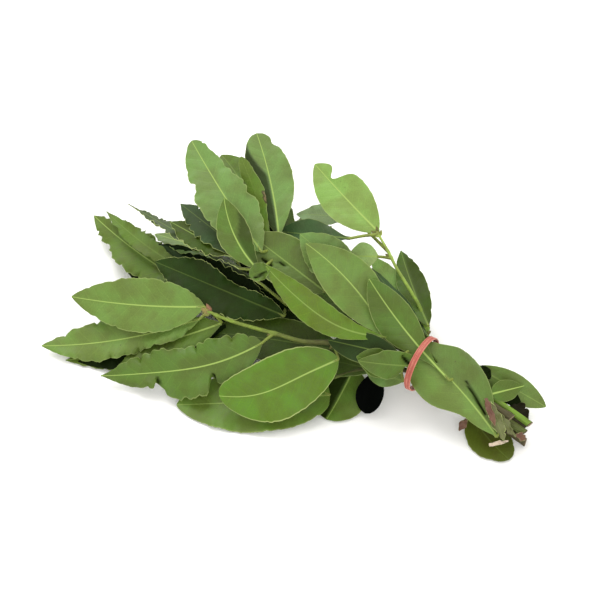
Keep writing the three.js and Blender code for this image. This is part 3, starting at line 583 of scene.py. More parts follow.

# %% [markdown]
# ## Colours of leaves and wood
# No two leaves of the bunch have quite the same green. Young ones are yellow-green, old ones deep
# green, and a few are dusty grey or bluish. The two darkest tones are painted shade, for blades that
# stand where there is only deep shade, and night is partly the green of old leaves and partly painted
# shade of the hollow. Each tone here is a pair, the upper face and the underside, in linear values,
# before veins and mottling are laid over it. The tones go into the mesh as a colour attribute, so two
# materials serve all leaves. A material for each leaf would take fifty more.

# %% Tones of leaves
LOOKS = {
    "meadow": ((0.105, 0.175, 0.028), (0.121, 0.18, 0.042)),
    "grass": ((0.068, 0.124, 0.0125), (0.082, 0.136, 0.022)),
    "moss": ((0.077, 0.13, 0.0121), (0.086, 0.139, 0.023)),
    "fresh": ((0.073, 0.153, 0.0041), (0.09, 0.16, 0.02)),
    "lime": ((0.081, 0.144, 0.0042), (0.098, 0.16, 0.021)),
    "spring": ((0.163, 0.273, 0.053), (0.171, 0.269, 0.064)),
    "pale": ((0.113, 0.195, 0.042), (0.127, 0.203, 0.05)),
    "dusk": ((0.079, 0.129, 0.018), (0.086, 0.131, 0.022)),
    "sage": ((0.037, 0.065, 0.0037), (0.042, 0.071, 0.0061)),
    "deep": ((0.044, 0.077, 0.0053), (0.053, 0.079, 0.0088)),
    "leek": ((0.086, 0.154, 0.0145), (0.088, 0.159, 0.0174)),
    "bottle": ((0.07, 0.093, 0.0056), (0.07, 0.095, 0.0092)),
    "ash": ((0.055, 0.088, 0.03), (0.062, 0.097, 0.035)),
    "butter": ((0.254, 0.372, 0.119), (0.254, 0.364, 0.119)),
    "olive": ((0.042, 0.085, 0.0006), (0.05, 0.098, 0.0023)),
    "night": ((0.0198, 0.041, 0.0052), (0.022, 0.039, 0.0066)),
    # painted shade: the two darkest tones, for blades in deep shade and in the gaps
    "painted_shade_ink": ((0.0053, 0.011, 0.0018), (0.0053, 0.011, 0.0018)),
    "painted_shade_black": ((0.0009, 0.0013, 0.0009), (0.0009, 0.0013, 0.0009)),
    "slate": ((0.0189, 0.036, 0.0076), (0.026, 0.044, 0.0111)),
    "steel": ((0.031, 0.062, 0.0169), (0.041, 0.073, 0.021)),
    "blue": ((0.043, 0.087, 0.026), (0.051, 0.098, 0.031)),
    "grey": ((0.216, 0.312, 0.143), (0.216, 0.312, 0.153)),
    "withered": ((0.114, 0.123, 0.044), (0.106, 0.106, 0.044)),
    "husk": ((0.132, 0.066, 0.04), (0.132, 0.066, 0.04)),
    "dead": ((0.019, 0.018, 0.0088), (0.019, 0.018, 0.0088)),
    "paper": ((0.458, 0.37, 0.29), (0.44, 0.352, 0.264)),
}
print(len(LOOKS), "leaf tones")

# %% [markdown]
# ## Colours of twigs
# A bay twig is grey-brown where it was cut and turns green towards its young end. That change runs
# along the twig, so each sprig has two tones, one for each end, and the ones between are mixed. The
# right sprig is so young that it is green down to the cut. The young ends of the middle and tall
# sprigs run through the hollow of the bunch, and their nearly lightless tones are painted shade. One
# brown for all would be easier, but the green stems are what tells fresh twigs from dry ones.

# %% Tones of twigs and buds
OLD_BARK = dict.fromkeys([one.name for one in SPRIGS], (0.066, 0.057, 0.023))
OLD_BARK["right_sprig"] = (0.141, 0.246, 0.026)
OLD_BARK["middle_sprig"] = (0.088, 0.114, 0.026)
YOUNG_BARK = {
    "front_sprig": (0.216, 0.31, 0.044),
    "low_sprig": (0.106, 0.15, 0.026),
    "dark_sprig": (0.07, 0.085, 0.013),
    # painted shade: the young ends of these two stems lie in the hollow, so their tones are nearly as
    # dark as its shadow
    "middle_sprig": (0.026, 0.035, 0.0088),
    "tall_sprig": (0.018, 0.026, 0.007),
    "top_sprig": (0.106, 0.158, 0.035),
    "right_sprig": (0.299, 0.414, 0.079),
}
CUT_WOOD = (0.317, 0.255, 0.141)
STALK_TONE = (0.202, 0.255, 0.048)
BUD_BROWN = (0.238, 0.114, 0.066)
BUD_GREEN = (0.123, 0.15, 0.035)
BUD_TIP = (0.264, 0.176, 0.088)
print("the youngest bark is", YOUNG_BARK["right_sprig"])

# %% [markdown]
# ## Waves that never repeat
# Everything that grew is uneven, but it must be uneven in the same way on each run. A few sines whose
# lengths don't fit each other are added up, with their starts drawn from a seed that comes from the
# leaf's own name. That gives every leaf its own margin. Noise from a texture would do it too, but it
# can't be read back as numbers for a mesh.

# %% Seeds and uneven waves
WAVE_WEIGHTS = (0.45, 0.3, 0.2, 0.15)
WAVE_STRETCHES = (1, 0.62, 1.7, 0.37)  # their lengths, as shares of the first


def seed_of(name):
    """A number drawn from a name, the same on each run."""
    return zlib.crc32(name.encode())


def uneven_wave(x, length, seed):
    """Sines of unlike lengths added up: about -1 to 1, and it never repeats."""
    starts = np.random.default_rng(seed).uniform(0, 2 * math.pi, len(WAVE_WEIGHTS))
    return sum(
        weight * np.sin(2 * math.pi * x / (length * stretch) + start)
        for weight, stretch, start in zip(WAVE_WEIGHTS, WAVE_STRETCHES, starts)
    )


print("an uneven wave:", uneven_wave(np.arange(0, 20, 5.0), 8, seed_of("example")).round(2))

# %% [markdown]
# ## The midrib
# A leaf hangs on its midrib, so that comes first: a line from base to tip that bows up or down and to
# the side. The blade needs directions as well: along the midrib, up out of the upper face, and to
# the left. `tilt` and `roll` set which way it faces.

# %% Directions and midrib of a leaf
def leaf_axes(one):
    """Base, length and the directions along, up and left of a leaf."""
    base = place(one.base)
    along = place(one.tip) - base
    length = np.linalg.norm(along)
    along = along / length
    lean = math.radians(one.tilt)
    face = np.array([0.0, -math.sin(lean), math.cos(lean)])
    up = unit(face - along * face.dot(along))
    roll = math.radians(one.roll)
    up = up * math.cos(roll) + np.cross(along, up) * math.sin(roll)
    return base, length, along, up, np.cross(up, along)


def midrib(one, u):
    """The midrib's points at the places u."""
    base, length, along, up, left = leaf_axes(one)
    bow = (4 * u * (1 - u))[..., None]
    swing = np.sin(2 * math.pi * u)[..., None]
    return (
        base
        + along * (length * u)[..., None]
        + up * (one.arch * bow)
        + left * (one.sway * bow + one.swing * swing)
    )


print("the first leaf is", round(leaf_axes(SPRIGS[0].leaves[0])[1], 1), "mm long")

# %% [markdown]
# ## The outline
# Seen flat, a bay leaf is a spindle. Its outline is a sine here, bent so that it peaks where the leaf
# is widest. Bites are smooth dents in it, old margins get scallops with sharp notches between them,
# and a fine crinkle runs over all. Drawing each outline as a curve would be freer, but would
# need some hundred points a leaf.

# %% Half the width of a blade
FOOT_WIDTH = 2.0  # where the stalk begins, mm
TIP_WIDTH = 0.8
NIBBLE = 0.022  # in-plane crinkle of the margin, as a share of the half width
NIBBLE_LENGTH = 5.5  # mm
SCALLOP = 3.4  # depth of the deepest notch between two scallops, mm
SCALLOP_LENGTH = 8.2
SCALLOP_DRIFT = 2.1  # how unevenly they follow each other, radians
SCALLOP_SHARPNESS = 0.6  # below 1 for round lobes with sharp notches between


def scallops(one, u, side):
    """Round lobes along a margin: 0 on the top of a lobe, up to 1 in the sharp notches between."""
    length = leaf_axes(one)[1]
    seed = seed_of(one.name) + side + 21
    drift = SCALLOP_DRIFT * uneven_wave(u * length, 34, seed)
    beat = math.pi * u * length / SCALLOP_LENGTH + drift
    uneven = 0.55 + 0.45 * uneven_wave(u * length, 17, seed + 3)
    return (1 - np.abs(np.sin(beat)) ** SCALLOP_SHARPNESS) * np.clip(uneven, 0.05, 1)


def half_width(one, u, side):
    """Distance from the midrib to the margin on one side, 1 for left and -1 for right."""
    crown = math.log(0.5) / math.log(one.widest)
    taper = mix(one.base_taper, one.tip_taper, u)
    share = np.sin(math.pi * np.clip(u, 1e-4, 0.9999) ** crown) ** taper
    for bitten, where, depth, span in one.bites:
        if bitten * side > 0:
            share = share * (1 - depth * np.exp(-(((u - where) / span) ** 2)))
    length = leaf_axes(one)[1]
    nibble = uneven_wave(u * length, NIBBLE_LENGTH, seed_of(one.name) + side + 5)
    share = share * (1 + NIBBLE * one.crinkle * nibble)
    bitten_off = SCALLOP * one.ragged * (scallops(one, u, side) - 0.2) * smooth(share, 0.15, 0.5)
    least = mix(FOOT_WIDTH, TIP_WIDTH, smooth(u, 0, 0.3)) / 2
    return np.maximum(one.width / 2 * share - bitten_off, least)


first = SPRIGS[0].leaves[0]
print("half way along, its left half is", half_width(first, np.array([0.5]), 1).round(1), "mm wide")

# %% [markdown]
# ## Fold, waves and a curled margin
# A blade is worked out as a smooth sheet first: `u` runs from the base to the tip, and each point
# sits some millimetres to the left or right of the midrib. Both halves rise by the fold, the margin
# waves up and down, old margins curl under, and where a leaf would sink into the table it is laid
# flat on it. A Lattice or a Simple Deform modifier bends a mesh too, but only one way at a time.

# %% Bend the sheet of a blade
RIPPLE = 0.75  # out-of-plane crinkle of the margin, mm
RIPPLE_LENGTH = 8.0
HEM_START = 0.62  # share of the half width where a curled margin begins
SIDE_PHASE = 2.2  # the waves of the right half lag by this, radians
TABLE_REST = 0.5  # the lowest that the middle of a blade lies, mm
REST_SOFTNESS = 0.5


def blade_sheet(one, u, reach, side, edge):
    """Points of the blade's middle sheet. reach is mm from the midrib, edge the same as a share."""
    _, length, _, up, left = leaf_axes(one)
    if one.curl:
        flat = np.sin(one.curl * reach) / one.curl
        hang = (1 - np.cos(one.curl * reach)) / one.curl
    else:
        flat = reach
        hang = 0 * reach
    beat = np.sin(2 * math.pi * one.waves * u + one.phase + np.where(side > 0, 0, SIDE_PHASE))
    room = np.minimum(1, 4 * u * (1 - u) * 1.4)  # the waves fade out towards both ends
    lift = hang + np.abs(flat) * math.sin(math.radians(one.fold)) + one.wave * beat * edge**2 * room
    for one_side in (-1, 1):
        fine = uneven_wave(u * length, RIPPLE_LENGTH, seed_of(one.name) + one_side + 9)
        curled = smooth(edge, HEM_START, 1.25) * 2 * one.hem * (0.45 + scallops(one, u, one_side))
        fine = RIPPLE * one.crinkle * fine * edge**4 - curled
        lift = lift + np.where(side == one_side, fine * room, 0)
    across = flat * math.cos(math.radians(one.fold))
    sheet = midrib(one, u) + left * across[..., None] + up * lift[..., None]
    above_rest = (sheet[..., 2] - TABLE_REST) / REST_SOFTNESS
    sheet[..., 2] = TABLE_REST + REST_SOFTNESS * np.logaddexp(0, above_rest)
    return sheet


tip = blade_sheet(first, *np.array([[1.0], [0.0], [1.0], [0.0]]))[0]
print("its tip is", tip[2].round(1), "mm up")

# %% [markdown]
# ## Where the veins run
# Side veins leave the midrib of a bay leaf at about 55 degrees, ten or so on each side, and bend
# towards the tip near the margin. Instead of drawing lines, each point gets a number that grows by
# one from vein to vein, the vein count. A vein lies where the count is whole. The same
# count lifts the blade slightly between the veins here, and draws the pale lines in the material
# later, so the relief and the colour always agree. It is stored in a UV map, since UV
# values may differ to the left and right of the midrib.

# %% Count the veins
VEINS = 11
VEIN_SLANT = 0.7  # mm towards the tip for each mm from the midrib
VEIN_BEND = 0.014
VEIN_WOBBLE = 0.16
VEIN_OFFSET = 0.45  # the veins of the right half start this much further on


def vein_count(one, u, reach, side):
    """Whole on each side vein, and half way between them in the middle of a field."""
    length = leaf_axes(one)[1]
    far = np.abs(reach)
    along = u * length - VEIN_SLANT * far - VEIN_BEND * far**2
    wobble = VEIN_WOBBLE * uneven_wave(u * length, 31, seed_of(one.name) + 1)
    return along * VEINS / length + wobble + np.where(side > 0, 0.0, VEIN_OFFSET)


print("veins passed at its tip:", vein_count(first, np.array([1.0]), np.array([0.0]), 1).round(1))

# %% [markdown]
# ## A bag for points and faces
# A leaf blade, a stalk and a bud end up in one mesh, so each of them drops its points and faces in a
# shell. A point carries its colour, how dry it is and how pale its rim is. A face carries its
# material and its UVs. Joining many Blender objects afterwards would give the same mesh, but takes
# far longer to run.

# %% Gather points and faces
class Shell:
    """Points, faces, and what each of them carries, gathered for one mesh."""

    def __init__(self):
        self.points = []
        self.tones = []
        self.dryness = []
        self.rims = []
        self.faces = []
        self.looks = []
        self.blade_uv = []
        self.vein_uv = []
        self.count = 0

    def add(self, points, tone, dryness=0.0, rim=0.0):
        """Adds points with their colour, whose fourth value is the strength of the midrib."""
        first = self.count
        points = np.asarray(points).reshape(-1, 3)
        self.points.append(points)
        self.tones.append(np.broadcast_to(tone, (len(points), 4)))
        self.dryness.append(np.broadcast_to(dryness, (len(points),)))
        self.rims.append(np.full(len(points), rim))
        self.count += len(points)
        return first

    def face(self, corners, look, blade_uv, vein_uv):
        """Adds faces of four corners with one material and a pair of UVs at each corner."""
        corners = np.asarray(corners).reshape(-1, 4)
        self.faces.append(corners)
        self.looks.append(np.full(len(corners), look))
        self.blade_uv.append(np.broadcast_to(blade_uv, (len(corners), 4, 2)))
        self.vein_uv.append(np.broadcast_to(vein_uv, (len(corners), 4, 2)))


def quads(grid):
    """The four corners of each cell of a grid of values."""
    return np.stack([grid[:-1, :-1], grid[1:, :-1], grid[1:, 1:], grid[:-1, 1:]], axis=2)


print("a grid of 3 by 4 points has", quads(np.zeros((3, 4))).shape[:2], "cells")

# %% [markdown]
# ## Rows and columns of a blade
# A blade is a grid. Its rows are about a millimetre apart and closer together at the two ends, where
# the outline turns fast. Its columns keep close together beside the midrib, where the ridge is. A
# Subdivision modifier would smooth a coarse grid instead, but it would also round off the notches.

# %% Lay out the grid of a blade
ROW_STEP = 1.15
COLUMN_STEP = 1.3
RIDGE_COLUMNS = (0.0, 0.3, 0.62, 1.05)  # mm from the midrib
END_CROWDING = 0.35  # how much closer together the rows are at the two ends


def blade_grid(one):
    """Rows and columns of a blade: u, mm from the midrib, share of the half width, and side."""
    length = leaf_axes(one)[1]
    rows = max(24, round(length / ROW_STEP))
    even = np.linspace(0, 1, rows + 1)
    u = mix(even, (1 - np.cos(math.pi * even)) / 2, END_CROWDING)
    ridge = np.array(RIDGE_COLUMNS)
    columns = max(3, round((one.width / 2 - ridge[-1]) / COLUMN_STEP))
    halves = []
    for side in (-1, 1):
        edge = half_width(one, u, side)[:, None]
        inner = ridge[None, :] * np.minimum(1, edge / (2.6 * ridge[-1]))
        steps = (np.arange(1, columns + 1) / columns)[None, :]
        reach = np.hstack([inner, mix(inner[:, -1:], edge, steps)])
        halves.append((reach * side, reach / edge))
    (right, right_share), (left, left_share) = halves
    reach = np.hstack([right[:, :0:-1], left])
    share = np.hstack([right_share[:, :0:-1], left_share])
    side = np.hstack([-np.ones_like(right[:, 1:]), np.ones_like(left)])
    return np.repeat(u[:, None], reach.shape[1], axis=1), reach, share, side


print("the grid of the first leaf:", blade_grid(first)[0].shape)

# %% [markdown]
# ## Folds, painted shade on halves, and dry margins
# What makes a leaf look old happens in places: a sharp fold where it was bent and a brown stretch of
# margin. Painted shade goes with them: a fold is darkened where its sides shade each other, and a
# half that is turned from the light is darkened too. Each is a value from 0 to 1 over the same grid,
# so all three move with the leaf. They could be painted by hand on the finished mesh, but would be
# lost when a leaf changes.

# %% Where a blade is folded, painted in shade, or dry
CREASE_DEPTH = 1.4
CREASE_SHADE = 0.93  # how much painted shade darkens a fold, whose sides nearly touch
PAINTED_SHADE_END = 0.35  # a half in painted shade ends in a slant this long, as a share of the leaf


def crease_share(one, u, reach):
    """1 along the bottom of a fold, 0 beside it."""
    length = leaf_axes(one)[1]
    here = np.stack([u * length, reach], axis=-1)
    total = 0 * u
    for from_u, from_aside, to_u, to_aside, width in one.creases:
        start = np.array([from_u * length, from_aside])
        way = np.array([to_u * length, to_aside]) - start
        t = np.clip((here - start) @ way / way.dot(way), 0, 1)
        apart = np.linalg.norm(here - start - t[..., None] * way, axis=-1)
        narrow = width * (0.45 + 0.55 * np.sin(math.pi * np.clip(t, 0.1, 0.9)))
        total = np.maximum(total, np.exp(-((apart / narrow) ** 2)))
    return total


def tone_kept_after_painted_shade(one, u, reach, share, side):
    """How much of its tone the blade keeps: less than 1 where a half gets painted shade."""
    kept = 1 + 0 * u
    for where_side, end, strength in one.dim:
        border = np.clip((u - end + PAINTED_SHADE_END) / PAINTED_SHADE_END, 0, 1)
        beside = smooth(share - border, -0.1, 0.08) * smooth(np.abs(reach), 0.5, 1.4) * (u < end)
        kept = kept - strength * beside * (side == where_side)
    return kept


def dry_stretch(one, u, share, side):
    """How brown the blade is: 1 in the middle of a dry stretch of the margin, 0 elsewhere."""
    dryness = 0 * u
    for where_side, where, span, strength in one.dry:
        beside = np.exp(-(((u - where) / span) ** 2)) * smooth(share, 0.25, 0.95)
        dryness = np.maximum(dryness, strength * beside * (side == where_side))
    return dryness


folded = [one.name for each in SPRIGS for one in each.leaves if one.creases]
print("folded leaves:", folded)

# %% [markdown]
# ## From sheet to blade
# The sheet is given its thickness: 0.45 mm in the blade, less at the margin, and a round ridge along
# the midrib, high below and low above, as on the real leaf. Between two side veins it puffs up a
# little. A Solidify modifier on a flat sheet would do for the thickness, but not for the ridge.

# %% Give a blade its thickness
BLADE_THICKNESS = 0.45
EDGE_THICKNESS = 0.24
PUFF = 0.18  # rise of the blade between two side veins, mm
# each at the base and at the tip, mm
RIDGE_WIDTH = (0.95, 0.35)
RIDGE_ABOVE = (0.3, 0.06)
RIDGE_BELOW = (0.62, 0.12)


def blade_body(one, u, reach, share, side):
    """A blade's middle sheet, its upper and lower face, and how folded it is at each point."""
    sheet = blade_sheet(one, u, reach, side, share)
    normal = unit(np.cross(np.gradient(sheet, axis=0), np.gradient(sheet, axis=1)))
    count = vein_count(one, u, reach, side)
    field = (0.5 - 0.5 * np.cos(2 * math.pi * count)) * smooth(np.abs(reach), 0.8, 4) * (1 - share**3)
    puff = PUFF * field * smooth(u, 0.02, 0.12) * smooth(1 - u, 0.02, 0.12)
    ridge = np.exp(-((reach / mix(*RIDGE_WIDTH, u)) ** 2)) * smooth(1 - u, 0, 0.1)
    half = mix(BLADE_THICKNESS, EDGE_THICKNESS, share**2) / 2
    crease = crease_share(one, u, reach)
    sheet = sheet - normal * (CREASE_DEPTH * crease)[..., None]
    above = sheet + normal * (half + puff + ridge * mix(*RIDGE_ABOVE, u))[..., None]
    below = sheet - normal * (half - puff + ridge * mix(*RIDGE_BELOW, u))[..., None]
    return sheet, above, below, crease


thickest = BLADE_THICKNESS + RIDGE_ABOVE[0] + RIDGE_BELOW[0]
print("a midrib is up to", round(thickest, 2), "mm thick")

# %% [markdown]
# ## Close a blade
# The upper and lower faces lie on the same grid, so they get the same UVs, and a strip round the
# margin joins them into one closed body. Each point takes its tone, with painted shade in its folds
# and on halves that are turned from the light. The two faces could be two objects, but light would
# come in between them at the margin.

# %% Materials by number, and one blade
MATERIALS = []
REACH_UNIT = 10  # mm from the midrib for each 1 in the UV map of the veins


def slot_number(name):
    """The place of a material in every sprig's list."""
    MATERIALS.append(name)
    return len(MATERIALS) - 1


UPPER = slot_number("leaf upper face")
LOWER = slot_number("leaf underside")


def blade_uvs(one, u, reach, share, side):
    """Two UVs at the corners of each cell: where it is on the blade, and where in the veins."""
    blade_uv = quads(np.stack([u, 0.5 + 0.5 * share * side], axis=2))
    half_side = np.where(quads(side).mean(axis=2) > 0, 1, -1)[:, :, None]
    vein = vein_count(one, quads(u), quads(reach), half_side)
    vein_uv = np.stack([vein, np.abs(quads(reach)) / REACH_UNIT], axis=3)
    return blade_uv.reshape(-1, 4, 2), vein_uv.reshape(-1, 4, 2)


def add_blade(shell, one):
    """Adds the closed blade of one leaf to the shell, and gives back its middle sheet."""
    grid = blade_grid(one)
    u, _, share, side = grid
    sheet, above, below, crease = blade_body(one, *grid)
    upper_tone, lower_tone = LOOKS[one.look]
    dryness = dry_stretch(one, u, share, side).reshape(-1)
    # painted shade: darker halves and darker folds
    kept = tone_kept_after_painted_shade(one, *grid) * (1 - CREASE_SHADE * smooth(crease, 0.25, 0.8))
    shade = kept.reshape(-1, 1) * [1, 1, 1, 0] + [0, 0, 0, 1]
    top = shell.add(above, shade * (*upper_tone, one.rib), dryness, one.rim)
    bottom = shell.add(below, shade * (*lower_tone, one.rib), dryness, one.rim)
    number = np.arange(u.size).reshape(u.shape)
    cells = quads(number).reshape(-1, 4)
    blade_uv, vein_uv = blade_uvs(one, *grid)
    shell.face(top + cells, UPPER, blade_uv, vein_uv)
    shell.face(bottom + cells[:, ::-1], LOWER, blade_uv[:, ::-1], vein_uv[:, ::-1])
    rim = np.concatenate([number[:, 0], number[-1, 1:], number[-2::-1, -1], number[0, -2::-1]])
    near, far = rim[:-1], rim[1:]
    edges = np.stack([top + near, bottom + near, bottom + far, top + far], axis=1)
    shell.face(edges, UPPER, (0.5, 0.999), (0.5, 9.0))
    return sheet


trial = Shell()
add_blade(trial, first)
print("one blade has", 2 * sum(map(len, trial.faces)), "triangles")

# %% [markdown]
# ## Lines that bend
# A twig bends a little at every leaf that grew on it. It follows a smooth curve through a few points,
# the same ones as the plain solid's. All twigs run side by side through the band, so there each has a
# place in the neck and a length past it. Blender's own curve objects bend as well, but here the
# points of the curve are needed as numbers, to set leaves on it.

# %% Curves, and the route of a stem
NECK_HEADING = math.radians(-32)
NECK_DIP = math.radians(17)
NECK_LEVEL = np.array([math.cos(NECK_HEADING), math.sin(NECK_HEADING), 0.0])
NECK_ACROSS = np.array([-math.sin(NECK_HEADING), math.cos(NECK_HEADING), 0.0])
OUTWARD = NECK_LEVEL * math.cos(NECK_DIP) - UP * math.sin(NECK_DIP)


def curve_point(points, t):
    """Points of the smooth curve through the given ones: t is 0 at the first and 1 at the last."""
    points = np.asarray(points)
    t = np.atleast_1d(t) * (len(points) - 1)
    span = np.clip(np.floor(t).astype(int), 0, len(points) - 2)
    w = (t - span)[:, None]
    padded = np.vstack([2 * points[0] - points[1], points, 2 * points[-1] - points[-2]])
    a, b, c, d = (padded[span + k] for k in range(4))
    return 0.5 * (
        2 * b + (c - a) * w + (2 * a - 5 * b + 4 * c - d) * w**2 + (3 * b - a - 3 * c + d) * w**3
    )


def stem_points(one):
    """The points of a sprig's stem, from its cut end."""
    seat = place(BAND_MIDDLE) + NECK_ACROSS * one.seat[0] + UP * one.seat[1]
    tail = [seat + OUTWARD * one.tail, seat + OUTWARD * one.tail / 2]
    return np.array([*tail, seat, *map(place, one.stem)])


print("the front stem starts at", to_frame(stem_points(SPRIGS[0])[0]).round(3), "m")

# %% [markdown]
# ## Tubes
# Stems, stalks and buds are all round things with a changing thickness. A curve object with a bevel
# would sweep a plain tube, but here each ring of points gets its own radii, for swellings, bark
# ridges and a slanted cut.

# %% Rings, and the tube through them
def rings(centres, radii, sides):
    """Rings of points round a line of centres. radii may differ round each ring."""
    heading = unit(np.gradient(centres, axis=0))
    aside = unit(np.cross(UP, heading))
    over = np.cross(heading, aside)
    angle = 2 * math.pi * np.arange(sides) / sides
    sideways = aside[:, None] * np.cos(angle)[None, :, None]
    around = sideways + over[:, None] * np.sin(angle)[None, :, None]
    return centres[:, None] + around * np.broadcast_to(radii, (len(centres), sides))[..., None]


def add_tube(shell, loops, looks, tone, along=None):
    """Joins rings of points into a closed tube. looks is one material, or one for each stretch."""
    count, sides = loops.shape[:2]
    along = np.linspace(0, 1, count) if along is None else along
    colour = np.ones((*loops.shape[:2], 4))
    colour[..., :3] = tone
    first = shell.add(loops, colour.reshape(-1, 4))
    number = first + np.arange(count * sides).reshape(count, sides)
    number = np.hstack([number, number[:, :1]])
    around = np.linspace(0, 1, sides + 1)
    uv = np.stack(np.meshgrid(along, around, indexing="ij"), axis=2)
    looks = np.broadcast_to(looks, (count - 1,))
    corners = quads(number)[:, :, ::-1]
    uv = quads(uv)[:, :, ::-1]
    for stretch in range(count - 1):
        shell.face(corners[stretch], looks[stretch], uv[stretch], uv[stretch])
    low = np.arange(sides // 2 - 1)
    cap = np.stack([low, low + 1, sides - 2 - low, sides - 1 - low], axis=1)
    shell.face(number[0][cap], looks[0], (along[0], 0.5), (along[0], 0.5))
    shell.face(number[-1][cap[:, ::-1]], looks[-1], (along[-1], 0.5), (along[-1], 0.5))


ring = rings(np.array([[0, 0, 0], [1.0, 0, 0]]), 2.0, 8)
print("a ring has", ring.shape[1], "points")

# %% [markdown]
# ## Buds
# Laurel buds are small pointed eggs of a few overlapping scales. One sits in the corner of each leaf
# stalk, and three at the end of a twig. Each is a short tube with its own radii and three ribs. They
# could be painted on, but they show in the outline.

# %% Build a bud
BUD_SIDES = 8
BUD_PLACES = (0.0, 0.14, 0.34, 0.58, 0.8, 0.94, 1.0)  # along the bud, as shares of its length
BUD_SWELLS = (0.5, 0.85, 1.0, 0.82, 0.46, 0.16, 0.04)  # its radius there, as shares of the largest
SCALE_RIB = 0.16  # height of the ribs where its scales overlap, as a share of the radius
BUD = slot_number("bud scales")


def add_bud(shell, base, heading, length, radius, tone):
    """A pointed bud with three ribs, where its scales overlap."""
    share = np.array(BUD_PLACES)
    swell = np.array(BUD_SWELLS)
    centres = base + unit(heading) * (share * length)[:, None]
    angle = 2 * math.pi * np.arange(BUD_SIDES) / BUD_SIDES
    ribs = 1 + SCALE_RIB * np.cos(3 * angle[None, :] + 2.5 * share[:, None])
    loops = rings(centres, radius * swell[:, None] * ribs, BUD_SIDES)
    add_tube(shell, loops, BUD, mix(np.array(tone), np.array(BUD_TIP), 0.4 * share[:, None, None]))


add_bud(Shell(), np.zeros(3), UP, 3.0, 1.0, BUD_GREEN)
print("a bud has", len(BUD_PLACES) * BUD_SIDES, "points")

# %% [markdown]
# ## Stems and cut ends
# What makes a twig believable is at its joints: it swells where a leaf stalk leaves it, tapers
# towards the young end, and has long low ridges in its bark. The cut end is pale wood inside a ring
# of bark, cut slightly askew. A cylinder with a bark picture would lack all of these in its outline.

# %% Build a stem
STEM_SIDES = 14
STEM_STEP = 1.6  # mm between rings
NODE_SWELLING = 0.34  # share by which the stem is thicker at a stalk
NODE_LENGTH = 2.2  # mm
YOUNG_THINNESS = 0.8  # the young part is this much thinner than the plain rod
BARK_RIDGE = 0.035  # height of the ridges, as a share of the radius
CUT_SLANT = 0.35
CUT_SETBACK = 0.3  # the bark begins this far behind the cut face, in radii
# radius share and place along the axis in radii, from the middle of the cut outwards
CUT_RINGS = ((0.08, 0.1), (0.2, 0.02), (0.45, 0.0), (0.72, 0.03), (0.9, 0.0), (1.0, 0.16))
TIP_BUD_LENGTH = 7.0
TIP_BUD_RADIUS = 1.9
BUD_SINK = 1.4  # how deep a bud's foot sits in the end of the stem, mm
# lean to the side, size and share of brown of each bud at the end of a sprig
BUD_CLUSTER = ((0.0, 1.0, 0.55), (0.7, 0.8, 1.0), (-0.6, 0.72, 0.25))
BROWN_BUDS = ("front_sprig", "dark_sprig")
GREEN_BUDS = (0.65, 0.15)  # size and brown of the buds of the other sprigs, as shares of those
BARK = slot_number("young bark")
CUT = slot_number("cut wood")


def stem_radius(one, t, length, spans):
    """The radius along a stem: it tapers towards the young end and swells at each stalk."""
    radius = mix(one.cut_radius, one.tip_radius, t) * mix(1, YOUNG_THINNESS, smooth(t, 0.3, 0.6))
    for bearer in one.leaves:
        apart = (t - bearer.on / spans) * length
        radius = radius * (1 + NODE_SWELLING * np.exp(-((apart / NODE_LENGTH) ** 2)))
    return radius


def cut_end(one, centre, ring, heading, slant):
    """Rings across the cut face, from its middle out to the bark."""
    cut = []
    for share, ahead in CUT_RINGS:
        middle = centre + heading * ahead * one.cut_radius
        cut.append(middle + (ring - centre) * share + slant * share)
    return np.array(cut)


def add_tip_buds(shell, one, centres):
    """The buds side by side at the young end of a stem."""
    heading = unit(centres[-1] - centres[-2])
    aside = unit(np.cross(heading, TOWARDS_EYE))
    size_share, brown_share = (1, 1) if one.name in BROWN_BUDS else GREEN_BUDS
    for lean, size, brown in BUD_CLUSTER:
        size = size_share * size
        tone = mix(np.array(YOUNG_BARK[one.name]), np.array(BUD_BROWN), brown_share * brown)
        start = centres[-1] - heading * BUD_SINK + aside * lean
        way = unit(heading + aside * lean)
        add_bud(shell, start, way, TIP_BUD_LENGTH * size, TIP_BUD_RADIUS * size, tone)


def add_stem(shell, one):
    """A stem with its bark, its swellings and its slanted cut end."""
    points = stem_points(one)
    spans = len(points) - 1
    rough = curve_point(points, np.linspace(0, 1, 200))
    length = np.linalg.norm(np.diff(rough, axis=0), axis=1).sum()
    t = np.linspace(0, 1, round(length / STEM_STEP) + 1)
    centres = curve_point(points, t)
    angle = 2 * math.pi * np.arange(STEM_SIDES) / STEM_SIDES
    seed = seed_of(one.name)
    grain = uneven_wave(length * t[:, None] + 9 * angle[None, :], 13, seed)
    bark = 1 + BARK_RIDGE * (grain * np.cos(5 * angle)[None, :])
    stem = rings(centres, stem_radius(one, t, length, spans)[:, None] * bark, STEM_SIDES)
    heading = unit(centres[1] - centres[0])
    slant = CUT_SLANT * np.cos(angle + seed % 7)[:, None] * heading * one.cut_radius
    cut = cut_end(one, centres[0], stem[0], heading, slant)
    stem[0] += heading * CUT_SETBACK * one.cut_radius + slant
    loops = np.concatenate([cut, stem])
    young = smooth(t, 0.25, 0.95)[:, None, None]
    tone = mix(np.array(OLD_BARK[one.name]), np.array(YOUNG_BARK[one.name]), young)
    tone = np.concatenate([np.broadcast_to(CUT_WOOD, (len(cut), 1, 3)), tone])
    looks = np.repeat([CUT, BARK], [len(cut), len(stem) - 1])
    along = np.concatenate([[share for share, _ in CUT_RINGS], 1 + length * t / 100])
    add_tube(shell, loops, looks, tone, along)
    add_tip_buds(shell, one, centres)
    return points, spans


print("cut stems come in radii", sorted({one.cut_radius for one in SPRIGS}), "mm")

